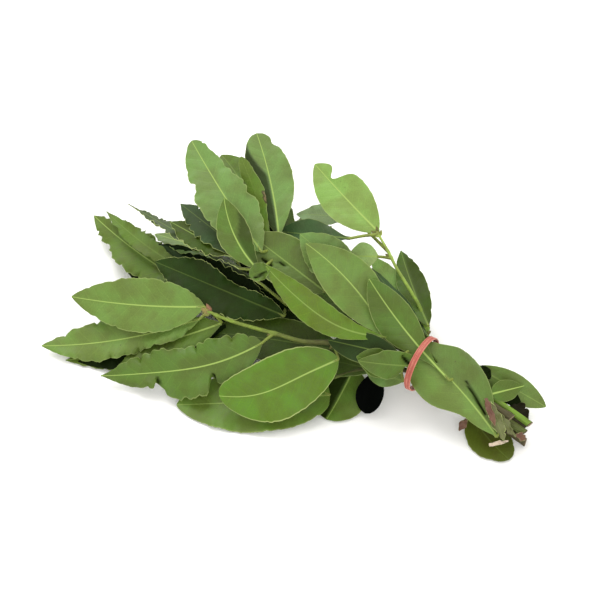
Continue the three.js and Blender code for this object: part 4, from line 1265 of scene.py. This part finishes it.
# %% [markdown]
# ## Leaf stalks
# A bay leaf stands on a stalk of a few millimetres that leaves the twig at a slant, bows outwards and
# runs on as the midrib below the blade. So the stalk here ends under the first tenth of the blade and
# gets thinner there. Without that overlap the leaf would look stuck on.

# %% Build a leaf stalk
STALK_SIDES = 8
STALK_STEPS = 15
STALK_RADII = (1.1, 0.86, 0.8, 0.62, 0.36)  # mm, from the stem to the end under the blade
STALK_BOW = 0.06  # share of its length
UNDER_BLADE = (0.05, 0.11)  # places on the midrib that the stalk runs on to
CORNER_BUD_LENGTH = 3.4
CORNER_BUD_RADIUS = 0.95
CORNER_BUD_START = 1.3  # from the middle of the stem, mm
STALK = slot_number("leaf stalk")


def add_stalk(shell, one, points, spans, sheet):
    """A leaf stalk from the stem to the underside of the midrib, and the bud in its corner."""
    middle = sheet.shape[1] // 2
    root = curve_point(points, one.on / spans)[0]
    before = curve_point(points, max(one.on / spans - 0.01, 0))[0]
    heading = unit(root - before)
    base = sheet[0, middle]
    rib = [sheet[round(len(sheet) * share), middle] for share in UNDER_BLADE]
    bow = unit(base - root) + 0.35 * heading
    half_way = mix(root, base, 0.5) + unit(bow) * STALK_BOW * np.linalg.norm(base - root)
    route = curve_point([root, half_way, base, *rib], np.linspace(0, 1, STALK_STEPS))
    last = len(STALK_RADII) - 1
    radius = np.interp(np.linspace(0, last, STALK_STEPS), range(last + 1), STALK_RADII)
    green = np.array(LOOKS[one.look][1])
    leafy = np.linspace(-0.6, 0.5, STALK_STEPS).clip(0)[:, None, None]
    tone = mix(np.array(STALK_TONE), green, leafy)
    add_tube(shell, rings(route, radius[:, None], STALK_SIDES), STALK, tone)
    corner = unit(unit(base - root) + heading * 0.9)
    start = root + corner * CORNER_BUD_START
    add_bud(shell, start, corner, CORNER_BUD_LENGTH, CORNER_BUD_RADIUS, BUD_GREEN)


print(len(MATERIALS), "materials on a sprig:", MATERIALS)

# %% [markdown]
# ## Small tools for shader nodes
# Materials are written as code here, so a few helpers keep them short: `node` adds a shader node
# and fills its sockets with numbers or links, `maths`, `soft_step`, `blend` and `noise` are the
# nodes that are used most, and `read_attribute` fetches what the mesh carries. The same nodes could
# be placed by hand in the shader editor, but a script shows each value beside its name.

# %% Helpers for nodes
NOISE_RANGE = (0.3, 0.7)  # nearly all noise lies between these two


def fill(tree, socket, value):
    """Links another node's output to a socket, or sets the socket to a value."""
    if isinstance(value, bpy.types.NodeSocket):
        tree.links.new(value, socket)
    else:
        socket.default_value = value


def node(tree, kind, inputs=None, **settings):
    """Adds a node. inputs maps a socket's name or number to a value or to another node's output."""
    made = tree.nodes.new(kind)
    for key, value in settings.items():
        setattr(made, key, value)
    for key, value in (inputs or {}).items():
        fill(tree, made.inputs[key], value)
    return made


def maths(tree, operation, *values):
    """The output of a Math node."""
    return node(tree, "ShaderNodeMath", dict(enumerate(values)), operation=operation).outputs[0]


def soft_step(tree, value, low, high, low_gives=0.0, high_gives=1.0):
    """low_gives below low, high_gives above high, softly between."""
    inputs = {"Value": value, "From Min": low, "From Max": high}
    inputs.update({"To Min": low_gives, "To Max": high_gives})
    return node(tree, "ShaderNodeMapRange", inputs, interpolation_type="SMOOTHSTEP").outputs["Result"]


def blend(tree, share, below, above, how="MIX"):
    """Lays one colour over another."""
    made = node(tree, "ShaderNodeMix", data_type="RGBA", blend_type=how)
    for key, value in (("Factor_Float", share), ("A_Color", below), ("B_Color", above)):
        fill(tree, next(s for s in made.inputs if s.identifier == key), value)
    return next(s for s in made.outputs if s.identifier == "Result_Color")


def noise(tree, where, scale, detail):
    """Noise from 0 to 1."""
    inputs = {"Vector": where, "Scale": scale, "Detail": detail}
    return node(tree, "ShaderNodeTexNoise", inputs).outputs["Fac"]


def read_attribute(tree, name, output):
    """A value or colour that the mesh carries."""
    return node(tree, "ShaderNodeAttribute", attribute_name=name).outputs[output]


print("node helpers:", [tool.__name__ for tool in (node, maths, soft_step, blend, noise)])

# %% [markdown]
# ## Node groups
# An effect that several materials share is a node group, with named inputs and outputs. It is built
# once, and each material places it with its own values. Copying the nodes into each material would
# look the same, but every later change would have to be made many times.

# %% Helpers for groups
FLOAT = "NodeSocketFloat"
VECTOR = "NodeSocketVector"


def group(name, inputs, outputs):
    """A new node group, its input node's sockets and its output node."""
    tree = bpy.data.node_groups.new(name, "ShaderNodeTree")
    for label, kind, value in inputs:
        socket = tree.interface.new_socket(label, in_out="INPUT", socket_type=kind)
        if value is not None:
            socket.default_value = value
    for label, kind in outputs:
        tree.interface.new_socket(label, in_out="OUTPUT", socket_type=kind)
    given = tree.nodes.new("NodeGroupInput").outputs
    result = tree.nodes.new("NodeGroupOutput").inputs
    return tree, given, result


def use(tree, shared, **inputs):
    """Places a node group in a material. Input names have _ for a space."""
    made = tree.nodes.new("ShaderNodeGroup")
    made.node_tree = shared
    for key, value in inputs.items():
        fill(tree, made.inputs[key.replace("_", " ")], value)
    return made.outputs


print("groups pass on", FLOAT, "and", VECTOR)

# %% [markdown]
# ## Veins as a shared effect
# A bay leaf shows a pale midrib, side veins, a fine net between them and a thin pale rim. The group
# reads the two UV maps of the blade: in one, a vein is where the count is whole, and the other
# says how far along and across the blade a point is. It puts out a mask for each kind of vein and one
# height for the bump. Painting the veins as an image would need one image for each leaf.

# %% The leaf vein group
VEIN_SPACING = 6.4  # mm from one side vein to the next


def midrib_mask(tree, width, far, along):
    """1 on the midrib, which gets narrower towards the tip."""
    narrowing = maths(tree, "SUBTRACT", 1.0, maths(tree, "MULTIPLY", along, 0.66))
    wide = maths(tree, "MULTIPLY", width, narrowing)
    return soft_step(tree, far, maths(tree, "MULTIPLY", wide, 0.5), wide, 1.0, 0.0)


def side_vein_mask(tree, width, far, count, out):
    """1 on the side veins, which get finer outwards and end before the margin."""
    beside = maths(tree, "MULTIPLY", maths(tree, "PINGPONG", count, 0.5), VEIN_SPACING)
    thinning = soft_step(tree, far, 0.0, 16.0, 1.0, 0.35)
    line = maths(tree, "MULTIPLY", width, thinning)
    side = soft_step(tree, beside, maths(tree, "MULTIPLY", line, 0.15), line, 1.0, 0.0)
    return maths(tree, "MULTIPLY", side, soft_step(tree, out, 0.8, 0.95, 1.0, 0.0))


def build_vein_group():
    """Masks for midrib, side veins, net and rim, and their height."""
    tree, given, result = group(
        "leaf veins",
        [
            ("Blade", VECTOR, None),
            ("Veins", VECTOR, None),
            ("Position", VECTOR, None),
            ("Midrib Width", FLOAT, 0.75),
            ("Vein Width", FLOAT, 0.42),
            ("Net Size", FLOAT, 1.3),
        ],
        [("Midrib", FLOAT), ("Side Veins", FLOAT), ("Net", FLOAT), ("Rim", FLOAT), ("Height", FLOAT)],
    )
    blade = node(tree, "ShaderNodeSeparateXYZ", {0: given["Blade"]}).outputs
    vein = node(tree, "ShaderNodeSeparateXYZ", {0: given["Veins"]}).outputs
    far = maths(tree, "MULTIPLY", vein["Y"], float(REACH_UNIT))
    off_middle = maths(tree, "ABSOLUTE", maths(tree, "SUBTRACT", blade["Y"], 0.5))
    out = maths(tree, "MULTIPLY", off_middle, 2.0)
    midrib = midrib_mask(tree, given["Midrib Width"], far, blade["X"])
    side = side_vein_mask(tree, given["Vein Width"], far, vein["X"], out)
    rim = soft_step(tree, out, 0.955, 0.985)
    cells = node(
        tree,
        "ShaderNodeTexVoronoi",
        {"Vector": given["Position"], "Scale": maths(tree, "DIVIDE", 1000.0, given["Net Size"])},
        feature="DISTANCE_TO_EDGE",
    )
    net = soft_step(tree, cells.outputs["Distance"], 0.015, 0.13, 1.0, 0.0)
    height = maths(tree, "MULTIPLY_ADD", side, 0.6, maths(tree, "MULTIPLY", net, 0.22))
    height = maths(tree, "MAXIMUM", height, midrib)
    for label, value in (("Midrib", midrib), ("Side Veins", side), ("Net", net), ("Rim", rim)):
        tree.links.new(value, result[label])
    tree.links.new(height, result["Height"])
    return tree


LEAF_VEINS = build_vein_group()
print("group:", LEAF_VEINS.name)

# %% [markdown]
# ## Mottling as a shared effect
# Nothing that grew is one even colour. Leaves, bark, wood and rubber all use this group: soft patches
# some millimetres wide, a fine grain, and a few small dots, each as a value from 0 to 1. It works
# in space and not on UVs, so it runs over every seam.

# %% The mottling group
def build_mottling_group():
    """Patches, grain and dots from the place in space."""
    tree, given, result = group(
        "mottling",
        [("Position", VECTOR, None), ("Patch Size", FLOAT, 12.0), ("Dot Share", FLOAT, 0.1)],
        [("Patches", FLOAT), ("Grain", FLOAT), ("Dots", FLOAT)],
    )
    scale = maths(tree, "DIVIDE", 1000.0, given["Patch Size"])
    patches = noise(tree, given["Position"], scale, 3.0)
    grain = noise(tree, given["Position"], 1600.0, 2.0)
    spots = node(
        tree,
        "ShaderNodeTexVoronoi",
        {"Vector": given["Position"], "Scale": 260.0, "Randomness": 1.0},
        feature="F1",
    )
    chosen = node(tree, "ShaderNodeSeparateColor", {0: spots.outputs["Color"]}).outputs[0]
    rare = maths(tree, "LESS_THAN", chosen, given["Dot Share"])
    dots = soft_step(tree, spots.outputs["Distance"], 0.06, 0.16, 1.0, 0.0)
    tree.links.new(soft_step(tree, patches, *NOISE_RANGE), result["Patches"])
    tree.links.new(grain, result["Grain"])
    tree.links.new(maths(tree, "MULTIPLY", dots, rare), result["Dots"])
    return tree


MOTTLING = build_mottling_group()
print("group:", MOTTLING.name)

# %% [markdown]
# ## Dry patches as a shared effect
# Where a bay leaf was bruised or bitten, it dries out brown, with a ragged border and a darker line
# around it. How dry the leaf is comes from the mesh. The group breaks that soft value up with
# noise into a patch with a crisp edge, for both faces of a leaf.

# %% The dry patch group
def build_dry_group():
    """A ragged patch and its dark border from a soft amount."""
    tree, given, result = group(
        "dry patch",
        [("Amount", FLOAT, 0.0), ("Position", VECTOR, None)],
        [("Patch", FLOAT), ("Border", FLOAT)],
    )
    rough = maths(tree, "MULTIPLY", noise(tree, given["Position"], 420.0, 4.0), 0.5)
    ragged = maths(tree, "ADD", given["Amount"], rough)
    patch = soft_step(tree, ragged, 0.66, 0.74)
    wider = soft_step(tree, ragged, 0.58, 0.66)
    tree.links.new(patch, result["Patch"])
    tree.links.new(maths(tree, "SUBTRACT", wider, patch), result["Border"])
    return tree


DRY_PATCH = build_dry_group()
print("group:", DRY_PATCH.name)

# %% [markdown]
# ## Starting a material
# Every material begins in the same way: the shader that comes with it, the place in space for its
# noise, and a bump that turns heights into small relief. Real displacement would show in the
# outline, but at this size the veins of a leaf are finer than any mesh that still renders fast.

# %% Helpers for materials
def start_material(name):
    """A material with its node tree, shader and the place in space."""
    material = bpy.data.materials.new(name)
    material.use_nodes = True
    tree = material.node_tree
    shader = tree.nodes["Principled BSDF"]
    position = node(tree, "ShaderNodeTexCoord").outputs["Object"]
    return material, tree, shader, position


def stretch(tree, where, scale):
    """UVs scaled by different amounts along and across."""
    return node(tree, "ShaderNodeMapping", {"Vector": where, "Scale": scale}).outputs[0]


def set_gloss(tree, shader, grain, smoothest, roughest):
    """Lets the roughness vary a little with the grain."""
    rough = soft_step(tree, grain, *NOISE_RANGE, smoothest, roughest)
    tree.links.new(rough, shader.inputs["Roughness"])


def bump(tree, shader, height, distance, strength):
    """Feeds a height in mm of relief to the shader's normal."""
    relief = node(
        tree, "ShaderNodeBump", {"Height": height, "Distance": distance * MM, "Strength": strength}
    )
    tree.links.new(relief.outputs["Normal"], shader.inputs["Normal"])


FINISHES = {}
print("relief is given in steps of", MM, "m")

# %% [markdown]
# ## Leaf materials
# The upper face is a satin green skin with sunken pale veins, the underside is duller, with veins
# that stand out. Both are the same recipe with other values, so one function makes them. Colour goes
# from the bottom up: the leaf's own tone with its painted shade, patches, the net, side veins, the
# pale rim, which on dark leaves is partly a painted highlight, midrib, and dry patches on top. The
# gloss varies a little with the grain, because a leaf is never polished evenly.

# %% Make the leaf materials
# the leaf's pale margin, brightened on the dark leaves so that it also stands for light caught on
# their wavy edges, a painted highlight
PALE_RIM_AND_HIGHLIGHT_TONE = (0.352, 0.414, 0.141, 1)
DOT_TONE = (0.053, 0.04, 0.013, 1)
DRY_TONE = (0.15, 0.108, 0.05, 1)
DRY_BORDER_TONE = (0.044, 0.026, 0.011, 1)


def veined_tone(tree, tone, vein, spots, vein_value, net_value):
    """The leaf's own tone, mottled, and lighter on its veins and net."""
    patch_hue = soft_step(tree, spots["Patches"], 0.0, 1.0, 0.487, 0.507)
    patch_value = soft_step(tree, spots["Patches"], 0.0, 1.0, 0.86, 1.14)
    grain_value = soft_step(tree, spots["Grain"], *NOISE_RANGE, 0.93, 1.06)
    net_share = maths(tree, "MULTIPLY_ADD", vein["Net"], net_value - 1, 1.0)
    side_share = maths(tree, "MULTIPLY_ADD", vein["Side Veins"], vein_value - 1, 1.0)
    value = maths(tree, "MULTIPLY", patch_value, grain_value)
    value = maths(tree, "MULTIPLY", value, maths(tree, "MULTIPLY", net_share, side_share))
    inputs = {"Color": tone, "Hue": patch_hue, "Value": value}
    return node(tree, "ShaderNodeHueSaturation", inputs).outputs["Color"]


def leaf_material(name, vein_value, net_value, midrib_tone, gloss, relief, specular):
    """A leaf face. gloss is its lowest and highest roughness, relief the height of its veins."""
    material, tree, shader, position = start_material(name)
    blade = node(tree, "ShaderNodeUVMap", uv_map="blade").outputs["UV"]
    veins = node(tree, "ShaderNodeUVMap", uv_map="veins").outputs["UV"]
    vein = use(tree, LEAF_VEINS, Blade=blade, Veins=veins, Position=position)
    spots = use(tree, MOTTLING, Position=position, Patch_Size=14.0, Dot_Share=0.04)
    dry = use(tree, DRY_PATCH, Amount=read_attribute(tree, "dry", "Fac"), Position=position)
    tone = node(tree, "ShaderNodeAttribute", attribute_name="tone").outputs

    colour = veined_tone(tree, tone["Color"], vein, spots, vein_value, net_value)
    rim_and_highlight_share = maths(tree, "MULTIPLY", vein["Rim"], read_attribute(tree, "rim", "Fac"))
    colour = blend(tree, rim_and_highlight_share, colour, PALE_RIM_AND_HIGHLIGHT_TONE)
    paleness = maths(tree, "MULTIPLY", tone["Alpha"], 0.9)
    colour = blend(tree, maths(tree, "MULTIPLY", vein["Midrib"], paleness), colour, midrib_tone)
    colour = blend(tree, maths(tree, "MULTIPLY", spots["Dots"], 0.5), colour, DOT_TONE)
    colour = blend(tree, dry["Patch"], colour, DRY_TONE)
    colour = blend(tree, dry["Border"], colour, DRY_BORDER_TONE)
    tree.links.new(colour, shader.inputs["Base Color"])
    rough = soft_step(tree, spots["Grain"], *NOISE_RANGE, *gloss)
    tree.links.new(maths(tree, "MULTIPLY_ADD", vein["Net"], 0.06, rough), shader.inputs["Roughness"])
    lightness = node(tree, "ShaderNodeRGBToBW", {0: tone["Color"]}).outputs[0]
    sheen = soft_step(tree, lightness, 0.0, 0.09, 0.04 * specular, specular)
    tree.links.new(sheen, shader.inputs["Specular IOR Level"])
    vein_height = maths(tree, "MULTIPLY", vein["Height"], relief[0])
    height = maths(tree, "MULTIPLY_ADD", spots["Grain"], 0.25, vein_height)
    bump(tree, shader, height, relief[1], 0.8)
    return material


FINISHES["leaf upper face"] = leaf_material(
    "leaf upper face", 1.13, 1.05, (0.29, 0.41, 0.09, 1), (0.4, 0.54), (-1.0, 0.1), 0.3
)
FINISHES["leaf underside"] = leaf_material(
    "leaf underside", 1.18, 1.08, (0.29, 0.38, 0.11, 1), (0.54, 0.68), (1.0, 0.14), 0.25
)
print("made", sorted(FINISHES))

# %% [markdown]
# ## Bark, stalks and buds
# Young bay bark is satin, green to olive brown, with fine streaks along the twig and small pale
# corky dots. Stalks are smoother and yellower, and buds have papery brown scales. One recipe serves
# all three, with streaks that are noise stretched along the twig, since its UV map runs along and
# around it. A wave texture makes streaks too, but they come out too even for bark.

# %% Make the twig materials
STREAK_SCALE = (9.0, 14.0, 1.0)  # along the twig and around it
BARK_SHADE = (0.062, 0.048, 0.022, 1)
CORK_TONE = (0.299, 0.255, 0.158, 1)


def twig_material(name, streak, dot_share, gloss, relief):
    """Streaked skin in the tone that the mesh carries."""
    material, tree, shader, position = start_material(name)
    along = node(tree, "ShaderNodeUVMap", uv_map="blade").outputs["UV"]
    streaks = noise(tree, stretch(tree, along, STREAK_SCALE), 2.0, 4.0)
    spots = use(tree, MOTTLING, Position=position, Patch_Size=6.0, Dot_Share=dot_share)
    tone = read_attribute(tree, "tone", "Color")
    shader.inputs["Specular IOR Level"].default_value = 0.22
    value = soft_step(tree, streaks, *NOISE_RANGE, 1 - streak, 1 + streak)
    colour = node(tree, "ShaderNodeHueSaturation", {"Color": tone, "Value": value}).outputs["Color"]
    share = soft_step(tree, spots["Patches"], 0.35, 0.95, 0.0, 0.3)
    colour = blend(tree, share, colour, BARK_SHADE)
    colour = blend(tree, maths(tree, "MULTIPLY", spots["Dots"], 0.8), colour, CORK_TONE)
    tree.links.new(colour, shader.inputs["Base Color"])
    set_gloss(tree, shader, spots["Grain"], *gloss)
    height = maths(tree, "MULTIPLY_ADD", spots["Dots"], 0.7, streaks)
    bump(tree, shader, maths(tree, "MULTIPLY_ADD", spots["Grain"], 0.4, height), relief, 0.9)
    return material


FINISHES["young bark"] = twig_material("young bark", 0.3, 0.35, (0.45, 0.62), 0.25)
FINISHES["leaf stalk"] = twig_material("leaf stalk", 0.15, 0.06, (0.4, 0.52), 0.1)
FINISHES["bud scales"] = twig_material("bud scales", 0.4, 0.1, (0.5, 0.7), 0.25)
print("made", sorted(FINISHES))

# %% [markdown]
# ## Cut wood
# The end of a cut twig shows pale wood with growth rings round a soft, darker pith, and the bark as
# a thin dark ring outside. The UV map says how far out a point is, so rings are a repeating wave of
# that, shaken by the mottling. A photograph of a twig's end would be quicker, but would repeat
# itself.

# %% Make the wood material
WOOD_RING_TONE = (0.194, 0.141, 0.07, 1)
PITH_TONE = (0.176, 0.114, 0.053, 1)
WOOD_STAIN = (0.114, 0.075, 0.035, 1)


def wood_material():
    """End grain: growth rings, rays and a pith, darker towards the bark."""
    material, tree, shader, position = start_material("cut wood")
    ring = node(tree, "ShaderNodeUVMap", uv_map="blade").outputs["UV"]
    out = node(tree, "ShaderNodeSeparateXYZ", {0: ring}).outputs["X"]
    spots = use(tree, MOTTLING, Position=position, Patch_Size=1.6, Dot_Share=0.3)
    wobble = maths(tree, "MULTIPLY_ADD", spots["Patches"], 0.35, maths(tree, "MULTIPLY", out, 3.2))
    rings_mask = soft_step(tree, maths(tree, "PINGPONG", wobble, 0.5), 0.1, 0.4)
    tone = read_attribute(tree, "tone", "Color")
    colour = blend(tree, maths(tree, "MULTIPLY", rings_mask, 0.45), tone, WOOD_RING_TONE)
    colour = blend(tree, soft_step(tree, out, 0.2, 0.1), colour, PITH_TONE)
    colour = blend(tree, soft_step(tree, out, 0.82, 0.97), colour, BARK_SHADE)
    colour = blend(tree, soft_step(tree, spots["Patches"], 0.5, 1.0, 0.0, 0.5), colour, WOOD_STAIN)
    tree.links.new(colour, shader.inputs["Base Color"])
    set_gloss(tree, shader, spots["Grain"], 0.7, 0.9)
    bump(tree, shader, maths(tree, "ADD", rings_mask, spots["Grain"]), 0.15, 0.9)
    return material


FINISHES["cut wood"] = wood_material()
print("made", sorted(FINISHES))

# %% [markdown]
# ## From shells to pieces
# A shell becomes a mesh with its two UV maps, the tone, the dryness and the rim of each point, smooth
# shading, and sharp edges where a blade turns over its margin. It gets only the materials that it
# uses. The last two calls hang the piece on the frame's root body and hide the plain solid that it
# stands in for.

# %% Turn a shell into a piece
SHARP_ANGLE = math.radians(48)


def make_piece(name, shell, node_name):
    """A mesh object from a shell, riding on the frame in the place of a CAD node."""
    mesh = bpy.data.meshes.new(name)
    points = to_frame(np.vstack(shell.points))
    mesh.from_pydata(points.tolist(), [], np.vstack(shell.faces).tolist())
    looks, numbers = np.unique(np.concatenate(shell.looks), return_inverse=True)
    mesh.polygons.foreach_set("material_index", numbers.astype(np.int32))
    for look in looks:
        mesh.materials.append(FINISHES[MATERIALS[look]])
    for label, parts in (("blade", shell.blade_uv), ("veins", shell.vein_uv)):
        layer = mesh.uv_layers.new(name=label)
        layer.data.foreach_set("uv", np.vstack(parts).astype(np.float32).reshape(-1))
    tone = mesh.color_attributes.new("tone", "FLOAT_COLOR", "POINT")
    tone.data.foreach_set("color", np.vstack(shell.tones).astype(np.float32).reshape(-1))
    for label, parts in (("dry", shell.dryness), ("rim", shell.rims)):
        attribute = mesh.attributes.new(label, "FLOAT", "POINT")
        attribute.data.foreach_set("value", np.concatenate(parts).astype(np.float32))
    mesh.shade_smooth()
    mesh.set_sharp_from_angle(angle=SHARP_ANGLE)
    piece = bpy.data.objects.new(name, mesh)
    bpy.context.collection.objects.link(piece)
    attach(piece, "root")
    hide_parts(node_name)
    print(name, "has", 2 * len(mesh.polygons), "triangles and", len(looks), "materials")


print("sharp from", round(math.degrees(SHARP_ANGLE)), "degrees")

# %% [markdown]
# ## Build the sprigs
# Each sprig becomes two pieces, its leaves and its twig, both standing for the one solid of that
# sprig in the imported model. Two pieces are enough, because nothing on a sprig moves. One object for
# each leaf would be easier to pick up in Blender, but makes more than fifty pieces to keep in order.

# %% Build every sprig
def build_sprig(one):
    """The leaves and the twig of one sprig."""
    leaves, twig = Shell(), Shell()
    points, spans = add_stem(twig, one)
    for bearer in one.leaves:
        sheet = add_blade(leaves, bearer)
        add_stalk(twig, bearer, points, spans, sheet)
    for rag in one.rags:
        add_blade(leaves, rag)
    for part, shell in (("leaves", leaves), ("twig", twig)):
        make_piece(f"{one.name}_{part}", shell, one.name)


for one in SPRIGS:
    build_sprig(one)

# %% [markdown]
# ## The rubber band
# A flat salmon-red rubber band goes twice round the neck of the bunch, so it shows as two strands
# side by side. Rubber that is stretched round something uneven has soft corners and small changes of
# width. The section is a rounded rectangle that is swept round the same oval as the plain band,
# and the two strands share its width. A curve with a bevel would give strands that are too even.

# %% Sweep the strands of the band
BAND_THICKNESS = 1.0
BAND_ASIDE = -1.0  # the middle of the band is this far beside the stems
BAND_ACROSS = 16.0  # half width of the bunch inside the band
BAND_UP = 15.0  # half height of the bunch inside the band
BAND_STEPS = 160
BAND_SECTION = 14
STRANDS = ((-0.93, 0.0), (0.93, 1.9))  # mm along the neck, and where its unevenness starts
STRAND_WIDTH = 1.8
STRAND_CORNERS = 0.55  # below 1 for a fuller section, towards a rectangle
STRAND_CLOSENESS = 0.99  # the stretched strands lie a little closer together
STRAND_LIMIT = 1.04  # the widest that a strand gets, as a share of its width
STRAND_RISE = 0.05  # how far it is lifted here and there by what lies below, mm
BAND_COLOUR = (0.502, 0.136, 0.095, 1)
BAND = slot_number("salmon rubber")


def add_strand(shell, offset, start):
    """One strand of the band, at `offset` mm along the neck from its middle."""
    middle = place(BAND_MIDDLE)
    angle = np.linspace(0, 2 * math.pi, BAND_STEPS, endpoint=False)
    turn = 2 * math.pi * np.arange(BAND_SECTION) / BAND_SECTION
    wide = np.sign(np.cos(turn)) * np.abs(np.cos(turn)) ** STRAND_CORNERS
    thick = np.sign(np.sin(turn)) * np.abs(np.sin(turn)) ** STRAND_CORNERS
    stretch = 1 + 0.06 * np.sin(3 * angle + start) + 0.03 * np.sin(11 * angle + 2 * start)
    half = STRAND_WIDTH / 2 * np.minimum(stretch, STRAND_LIMIT)
    drift = 0.1 * np.sin(2 * angle + start)
    out = BAND_THICKNESS / 2 * (1 + thick[None, :] * (0.96 - 0.1 * (stretch[:, None] - 1)))
    out = out + STRAND_RISE * np.sin(9 * angle + start)[:, None]
    along = offset * STRAND_CLOSENESS + drift[:, None] * 0.4 + wide[None, :] * half[:, None]
    ring = (
        middle
        + NECK_ACROSS * (BAND_ASIDE + (BAND_ACROSS + out) * np.cos(angle)[:, None])[..., None]
        + UP * ((BAND_UP + out) * np.sin(angle)[:, None])[..., None]
        + NECK_LEVEL * along[..., None]
    )
    first = shell.add(ring, BAND_COLOUR)
    number = first + np.arange(ring[..., 0].size).reshape(ring.shape[:2])
    number = np.vstack([number, number[:1]])
    number = np.hstack([number, number[:, :1]])
    round_it = np.linspace(0, 1, BAND_STEPS + 1)
    section = np.linspace(0, 1, BAND_SECTION + 1)
    uv = quads(np.stack(np.meshgrid(round_it, section, indexing="ij"), axis=2)).reshape(-1, 4, 2)
    shell.face(quads(number), BAND, uv, uv)


band = Shell()
for offset, start in STRANDS:
    add_strand(band, offset, start)
print("the band has", band.count, "points")

# %% [markdown]
# ## Rubber
# An old kitchen rubber band is matt, with a pale dusty bloom and fine creases across it where it is
# stretched. The creases are noise that is squeezed along the band, and they and the edges of each
# strand get painted shade. The dust is the same mottling group that the leaves use, with its own
# patch size.

# %% Make the rubber and the band
CREASE_SCALE = (150.0, 3.0, 1.0)  # along the band and around its section
BAND_BLOOM = (0.616, 0.255, 0.185, 1)
# painted shade for the creases and for the edges of the strands
BAND_PAINTED_SHADE = (0.282, 0.04, 0.026, 1)


def rubber_material():
    """Matt salmon rubber with a dusty bloom, fine creases across, and painted shade in the creases
    and on the edges.
    """
    material, tree, shader, position = start_material("salmon rubber")
    around = node(tree, "ShaderNodeUVMap", uv_map="blade").outputs["UV"]
    spots = use(tree, MOTTLING, Position=position, Patch_Size=5.0, Dot_Share=0.15)
    creases = noise(tree, stretch(tree, around, CREASE_SCALE), 1.0, 3.0)
    section = node(tree, "ShaderNodeSeparateXYZ", {0: around}).outputs["Y"]
    flat = maths(tree, "PINGPONG", maths(tree, "ADD", section, 0.25), 0.25)
    edge = soft_step(tree, flat, 0.1, 0.02)
    bloom = soft_step(tree, spots["Patches"], 0.2, 0.9, 0.0, 0.5)
    colour = blend(tree, bloom, BAND_COLOUR, BAND_BLOOM)
    # painted shade: darker creases, then darker strand edges where the section turns from the light
    colour = blend(tree, soft_step(tree, creases, 0.45, 0.75, 0.0, 0.4), colour, BAND_PAINTED_SHADE)
    colour = blend(tree, maths(tree, "MULTIPLY", edge, 0.75), colour, BAND_PAINTED_SHADE)
    colour = blend(tree, maths(tree, "MULTIPLY", spots["Dots"], 0.5), colour, BAND_BLOOM)
    tree.links.new(colour, shader.inputs["Base Color"])
    set_gloss(tree, shader, spots["Grain"], 0.5, 0.68)
    bump(tree, shader, maths(tree, "MULTIPLY_ADD", spots["Grain"], 0.4, creases), 0.12, 0.9)
    return material


FINISHES["salmon rubber"] = rubber_material()
make_piece("rubber_band_strands", band, "rubber_band")

# %% [markdown]
# ## Measure and finish
# The dressed bunch has to stay as large as the imported model. Both boxes are measured, and the last
# line prints by how many millimetres their corners differ.

# %% Write the sizes and finish
dressed_box = [list(corner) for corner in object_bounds()]
growth = np.abs(np.array(dressed_box) - np.array(cad_box)) / MM
print("the dressed box differs by mm:", growth.round(1).tolist())
